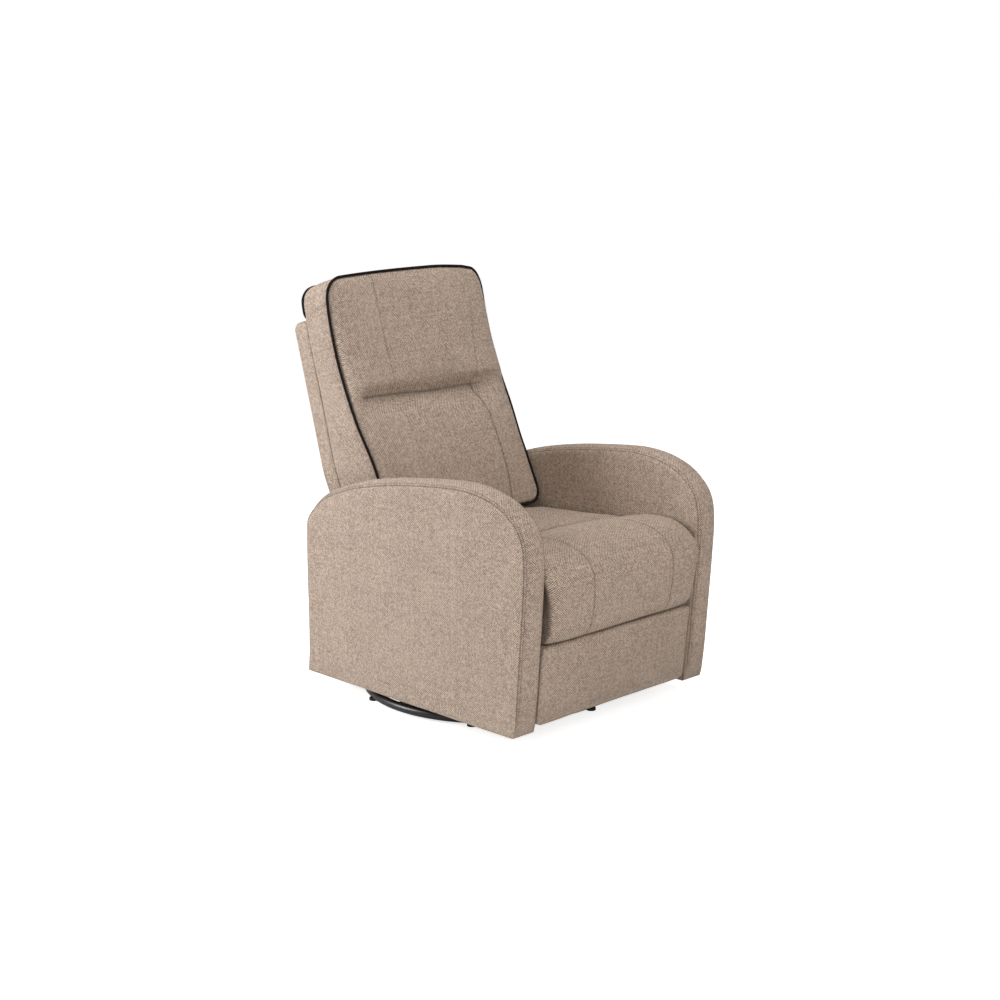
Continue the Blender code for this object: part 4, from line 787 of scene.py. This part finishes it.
def top_shape(station):
    """Rise of the cushion's top edge: crowned, with a tighter left corner and a drooping right one."""
    across = (np.abs(station) - 1) * (CUSHION_HALF_LOW + CUSHION_SPREAD)
    tight, loose = (corner_drop(across + radius, radius) for radius in CUSHION_CORNERS_HIGH)
    crown, droop = CUSHION_CROWN * puff(station, 2.2, 1), CUSHION_DROOP * smooth_step(0.20, 1, station)
    return crown - np.where(station < 0, tight, loose) - droop


def cushion_edge(station, share):
    """Across, along and depth of the cushion's front edge line."""
    across = (np.abs(station) - 1) * (CUSHION_HALF_LOW + CUSHION_SPREAD)
    low = CUSHION_LOW + corner_drop(across + CUSHION_CORNER_LOW, CUSHION_CORNER_LOW)
    along = low + (CUSHION_HIGH + top_shape(station) - low) * share
    true_share = (along - CUSHION_LOW) / (CUSHION_HIGH - CUSHION_LOW)
    depth = CUSHION_REAR_DEPTH + CUSHION_DEPTH * np.interp(true_share, *DEPTH_CURVE.T)
    half = cushion_half(along)
    heights, lefts, rights = np.array(CUSHION_SEAMS).T
    left, right = np.interp(along, heights, lefts), np.interp(along, heights, rights)
    first, second = CUSHION_STOPS
    outer_left = -half + (left + half) * (station + 1) / (first + 1)
    outer_right = right + (half - right) * (station - second) / (1 - second)
    middle = left + (right - left) * (station - first) / (second - first)
    x = np.where(station < first, outer_left, np.where(station > second, outer_right, middle))
    return x, along, depth


def cushion_front(skin):
    """The creased front in six sections. Gives across, along, depth, station and share of its places."""
    first, second = CUSHION_STOPS
    station = marks((-1, -0.985, -0.96, -0.92, first, second, 0.92, 0.96, 0.985, 1), 0.023)
    share = marks((0, 0.012, 0.032, 0.065, CREASE, 0.935, 0.968, 0.988, 1), 0.0095)
    s, p = np.meshgrid(station, share)
    lower = 0.026 * smooth_step(0.6, 1, s) - 0.009 - 0.014 * dip(s, 0.1, 0.55)
    p = p + lower * (1 - np.abs(p - CREASE) / max(CREASE, 1 - CREASE)) ** 2 * puff(2 * p - 1, 4, 1)
    x, along, depth = cushion_edge(s, p)
    past = p - lower - CREASE
    fade = smooth_step(-0.97, -0.80, s) * (1 - 0.55 * smooth_step(0.55, 0.90, s))
    crease = 1 - CREASE_DEPTH * dip(past, 0, np.where(past > 0, CREASE_ABOVE, CREASE_BELOW)) * fade
    upper = smooth_step(CREASE - 0.06, CREASE + 0.03, p)
    wide = upper * puff(s, 6, 0.5) + (1 - upper) * puff(s, np.where(s > 0, 3.0, 4.5), 0.75)
    bulge = CUSHION_BULGE * wide * puff(2 * p - 1, 3, 0.6) * crease
    seam = np.zeros(s.shape)
    for stop, above, below in ((first, 0.70, 0.45), (second, 0.65, 1.05)):
        seam[:, int(np.argmin(abs(station - stop)))] = np.where(share > CREASE, above, below)
    crease_row = int(np.argmin(abs(share - CREASE)))
    # Painted shade along the crease under the upper section, fading towards the right.
    seam[crease_row] = (station > -0.86) * (1.15 - 0.65 * smooth_step(0.50, 0.72, station))
    seam[0] = seam[-1] = seam[:, 0] = seam[:, -1] = 0.9
    pin = np.minimum(1, np.ceil(seam))
    skin.grid(back_place(x, along, depth + bulge), np.stack([x, along], -1), seam, pin)
    return x, along, depth, s, p


def cushion_rear(skin, x, along, s, p):
    """The cushion's flat rear face, as wide as the outer back. Gives across and along of its places."""
    rear_along = CUSHION_REAR_LOW + (CUSHION_REAR_HIGH + top_shape(s) - CUSHION_REAR_LOW) * p
    rear_x = x * (shell_half(rear_along) - CUSHION_REAR_INSET) / cushion_half(along)
    cloth = np.stack([rear_x + 2, rear_along], -1)
    skin.grid(back_place(rear_x, rear_along, np.array(CUSHION_REAR_DEPTH)), cloth, 0.0, 1.0)
    return rear_x, rear_along


def border(grid):
    """The places round the rim of a grid, anticlockwise from its first corner."""
    return np.concatenate([grid[0], grid[1:, -1], grid[-1, -2::-1], grid[-2:0:-1, 0]])


def boxing(skin, front, rear, ways):
    """The strip between the cushion's front edge and its rear edge, bowed a little outwards."""
    run = marks((0, 1), 0.06)
    out = np.column_stack([ways, np.zeros(len(ways))])
    rows = []
    for part in run:
        bow = BOXING_BOW * math.sin(math.pi * part) ** 0.5
        rows.append(back_place(*(front + (rear - front) * part + out * bow).T))
    around = np.broadcast_to(lengths(rows[0])[None], (len(run), len(front)))
    cloth = np.stack([around, (front[:, 2] - CUSHION_REAR_DEPTH)[None] * run[:, None]], -1)
    seam = np.zeros((len(run), 1))
    seam[0] = 0.9
    skin.grid(rows, cloth + (4.0, 0), seam, 1.0)


def front_piping(front, ways):
    """One closed cord round the cushion's front edge."""
    across, along = (front[:, :2] + ways * FRONT_PIPING_OUT).T
    path = evenly(back_place(across, along, front[:, 2]), 0.005)[:-1]
    dress(tube("front_cord", path, CORD), "back", "piping", "front_piping")


def rear_piping(rear):
    """An open cord over the cushion's top rear edge, with its ends in the seam at the outer back's top."""
    arch = rear[:-1, :2][rear[:-1, 1] > REAR_PIPING_LOW]
    arch = arch[np.argsort(-np.arctan2(arch[:, 1] - 0.5, arch[:, 0]))]
    half = SHELL_HALF_HIGH - CUSHION_REAR_INSET
    foot = np.array(REAR_PIPING_FEET) - (half, 0)
    line = np.vstack([foot, arch[::3], foot[::-1] * (-1, 1)])
    run = np.gradient(line, axis=0)
    normal = np.stack([-run[:, 1], run[:, 0]], 1)
    line = line + normal / np.linalg.norm(normal, axis=1)[:, None] * REAR_PIPING_OUT
    path = curve_through(back_place(line[:, 0], line[:, 1], SHELL_DEPTH + PIPING_RADIUS), STEP)
    dress(tube("rear_cord", path, CORD, round_trip=False), "back", "piping", "rear_piping")


def back_cushion():
    """The boxed back cushion between its two pipings."""
    skin = Skin()
    x, along, depth, s, p = cushion_front(skin)
    rear_x, rear_along = cushion_rear(skin, x, along, s, p)
    front = closed(border(np.stack([x, along, depth], -1)))
    rear = closed(border(np.stack([rear_x, rear_along, np.full(x.shape, CUSHION_REAR_DEPTH)], -1)))
    ways = closed(outwards(front[:-1, :2]))
    boxing(skin, front, rear, ways)
    cushion = skin.make("back_cover", FABRIC)
    inflate(cushion, lambda places: np.full(len(places), CUSHION_FILL))
    sew_finely(cushion, depth=0.0020, waves=0.0013, wave_scale=10.0, seed=5.1)
    dress(cushion, "back", "upholstery", "back_cushion")
    front_piping(front, ways)
    rear_piping(rear)


# Covered slabs
def slab(name, ring, profile, place, swells, shares, seam_in=0.0):
    """An upholstered slab: its ring in (across, along), its edge profile in (inset, share of depth)."""
    normal = outwards(ring)
    skin = Skin()
    rows, cloth = [], []
    profile = np.asarray(profile, float)
    far = lengths(closed(ring))
    for (inset, depth), down in zip(profile, lengths(profile * (1, 0.04))):
        spots = closed(ring - normal * inset)
        rows.append(place(spots[:, 0], spots[:, 1], depth, 0.0))
        cloth.append(np.stack([far, np.full(len(far), down)], -1))
    skin.grid(rows, np.array(cloth) + (5.0, 0))
    for (inset, depth), swell in zip((profile[0], profile[-1]), swells):
        edge = ring - normal * inset
        spots = towards(ring.mean(0), closed(edge), shares)
        seam = dip(from_edge(spots, edge), seam_in, 0.002) if seam_in else 0.0
        rise = swell * (1 - np.exp(-softly_from_edge(spots, edge) / 0.02))
        skin.grid(place(spots[..., 0], spots[..., 1], depth, rise), spots, seam)
    return skin.make(name, FABRIC)


def rounded_ring(half, low, high, radius_low, radius_high):
    """A rectangle with rounded corners, clockwise from its lower left."""
    turn = np.radians(np.linspace(0, 90, 9))
    less_sine, less_cosine = 1 - np.sin(turn), 1 - np.cos(turn)
    left_low = np.stack([-half + radius_low * less_sine, low + radius_low * less_cosine], 1)
    left_high = np.stack([-half + radius_high * less_cosine, high - radius_high * less_sine], 1)
    left = np.vstack([left_low, left_high])
    return evenly(closed(np.vstack([left, left[::-1] * (-1, 1)])), 0.005)[:-1]


def rounded_edge(radius, share, steps=7):
    """Inset and share of depth round a quarter turn of an edge."""
    turn = np.radians(np.linspace(90, 0, steps))
    return [(radius * (1 - math.cos(a)), share * (1 - math.sin(a))) for a in turn]


def footrest_pad():
    """The padded board in front, thinner towards its foot."""
    profile = [(inset, 1 - depth) for inset, depth in rounded_edge(PAD_EDGE, 0.26)]
    profile += [(0, 0.55), (0, 0.35), (0, 0.15), (0.0006, 0.02), (0.003, 0.0)]

    def place(x, up, share, swell):
        share_up = np.clip((up - PAD_LOW) / (PAD_HIGH - PAD_LOW), 0, 1)
        thick = PAD_THICKNESS - PAD_LEAN * (1 - share_up)
        return np.stack(np.broadcast_arrays(x, -(PAD_BACK + thick * share + swell), up), -1)

    ring = rounded_ring(PAD_HALF, PAD_LOW, PAD_HIGH, *PAD_CORNERS)
    shares = np.concatenate([np.linspace(1, 0.6, 22), np.linspace(0.57, 0, 20)])
    pad = slab("footrest_cover", ring, profile, place, (PAD_SWELL, 0.0), shares)
    sew(pad, depth=0.0, waves=0.0010, wave_scale=9.0, seed=8.0)
    dress(pad, "footrest", "upholstery", "footrest_pad")


def shell_ring():
    """The outer back's outline, clockwise from its lower left."""
    ups = np.linspace(0, SHELL_LENGTH - SHELL_CORNER, 90)
    line = [(-half, up) for half, up in zip(shell_half(ups), ups)]
    for a in np.radians(np.linspace(0, 90, 9))[1:]:
        across, down = SHELL_CORNER * (1 - math.cos(a)), SHELL_CORNER * (1 - math.sin(a))
        line.append((-SHELL_HALF_HIGH + across, SHELL_LENGTH - down))
    line += [(-a, b) for a, b in reversed(line)]
    return evenly(closed(np.array(line)), STEP)[:-1]


def back_shell():
    """The outside back: a covered pan over the frame, its panel sewn inside the edge."""
    profile = rounded_edge(SHELL_EDGE, SHELL_EDGE / SHELL_DEPTH)
    profile += [(0, 0.35), (0, 0.55), (0, 0.75), (0.0004, 0.96), (0.0015, 1.0)]

    def place(x, along, share, swell):
        return back_place(x, along, share * SHELL_DEPTH - swell)

    def pan_place(x, depth, along):
        return Vector(back_place(np.array(x), np.array(along), np.array(depth)))

    shares = np.concatenate([np.linspace(1, 0.9, 24), np.linspace(0.88, 0, 24)])
    shell = slab("back_shell_cover", shell_ring(), profile, place, (0.0022, 0.0), shares, seam_in=0.012)
    sew(shell, depth=0.0010, waves=0.0009, wave_scale=7.0, seed=4.0)
    pan = ((PAN_FLOOR, PAN_LOW), (PAN_FLOOR, PAN_HIGH), (PAN_OUT, PAN_HIGH), (PAN_OUT, PAN_LOW))
    cut(shell, block((-PAN_HALF, PAN_HALF), pan, pan_place))
    dress(shell, "back", "upholstery", "back_shell")


def rear_panel():
    """The covered board between the arms under the back."""
    front_edge = [(inset, 1 - depth) for inset, depth in rounded_edge(PANEL_EDGE, 0.27, 6)]
    profile = front_edge + [(0, 0.5)] + [(inset, 1 - depth) for inset, depth in reversed(front_edge)]

    def place(x, up, share, swell):
        rear = PANEL_FRONT + PANEL_THICKNESS * share + np.sign(share - 0.5) * swell
        return np.stack(np.broadcast_arrays(x, rear, up), -1)

    ring = rounded_ring(PANEL_HALF, PANEL_LOW, PANEL_HIGH, *PANEL_CORNERS)
    shares = np.concatenate([np.linspace(1, 0.85, 14), np.linspace(0.8, 0, 16)])
    panel = slab("rear_panel_cover", ring, profile, place, (0.0010, 0.0002), shares, seam_in=0.009)
    sew(panel, depth=0.0008, waves=0.0005, wave_scale=9.0, seed=2.0)
    dress(panel, "chassis", "upholstery", "rear_panel")


# Steel and wood
def base_ring():
    """The bent tube that the chair stands on."""
    turns = np.linspace(0, math.tau, 181)[:-1]
    level = np.full(len(turns), RING_UP)
    path = np.stack([RING_RADIUS * np.cos(turns), RING_BACK + RING_RADIUS * np.sin(turns), level], 1)
    ring = tube("base_ring_tube", path, LOOKS["black_steel"], RING_TUBE, sides=20)
    dress(ring, "base", "black_steel", "base_ring")


def finish_frame():
    """Give the frame's own pieces their looks."""
    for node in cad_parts.values():
        for slot in node.material_slots:
            if slot.material:
                slot.material = LOOKS.get(slot.material.name.split(".")[0], slot.material)


# Camera, lamps and floor
def aim(thing, place, target):
    """Put a camera or a lamp at a place, turned towards a target."""
    thing.location = place
    thing.rotation_euler = (Vector(target) - Vector(place)).to_track_quat("-Z", "Y").to_euler()
    bpy.context.scene.collection.objects.link(thing)


def camera():
    """The camera that stands where the photo was taken."""
    data = bpy.data.cameras.new("camera")
    data.sensor_width, data.lens = 36, CAMERA_LENS
    thing = bpy.data.objects.new("camera", data)
    aim(thing, CAMERA_PLACE, CAMERA_AIM)
    bpy.context.scene.camera = thing
    bpy.context.scene.view_settings.view_transform = "Standard"


def lamp(name, place, size, power, colour):
    """A soft square lamp."""
    data = bpy.data.lights.new(name, "AREA")
    data.shape, data.size, data.energy, data.color = "SQUARE", size, power, colour
    thing = bpy.data.objects.new(name, data)
    aim(thing, place, LAMP_AIM)


def surroundings():
    """A world that lights softly and is seen as pure white."""
    world = bpy.data.worlds.new("studio")
    bpy.context.scene.world = world
    world.use_nodes = True
    add, sums = makers(world.node_tree)
    rays = add("ShaderNodeLightPath").outputs
    seen = sums("MAXIMUM", rays["Is Camera Ray"], rays["Is Transmission Ray"])
    level = add("ShaderNodeMapRange", {"To Min": WORLD_LIGHT, "To Max": 1.0, "Value": seen})
    fill(world.node_tree.nodes["Background"], {"Strength": level.outputs[0], "Color": WHITE})


def floor():
    """A white floor that takes soft shadows and is otherwise seen as white."""
    look, shader, add, sums = material("white floor")
    glow = sums("MULTIPLY", add("ShaderNodeLightPath").outputs["Is Camera Ray"], FLOOR_GLOW)
    fill(shader, {"Base Color": (FLOOR_WHITE, FLOOR_WHITE, FLOOR_WHITE, 1), "Roughness": 0.9,
                  "Specular IOR Level": 0.0, "Emission Color": WHITE, "Emission Strength": glow})
    mesh = bpy.data.meshes.new("floor")
    corners = [(x * FLOOR_HALF, y * FLOOR_HALF, 0) for x, y in ((-1, -1), (1, -1), (1, 1), (-1, 1))]
    mesh.from_pydata(corners, [], [(0, 1, 2, 3)])
    put("floor", mesh, look)


finish_frame()
for side, sign in SIDES:
    arm_cover(side, sign)
seat_cushion()
back_cushion()
footrest_pad()
back_shell()
rear_panel()
base_ring()
camera()
surroundings()
for details in LAMPS:
    lamp(*details)
floor()
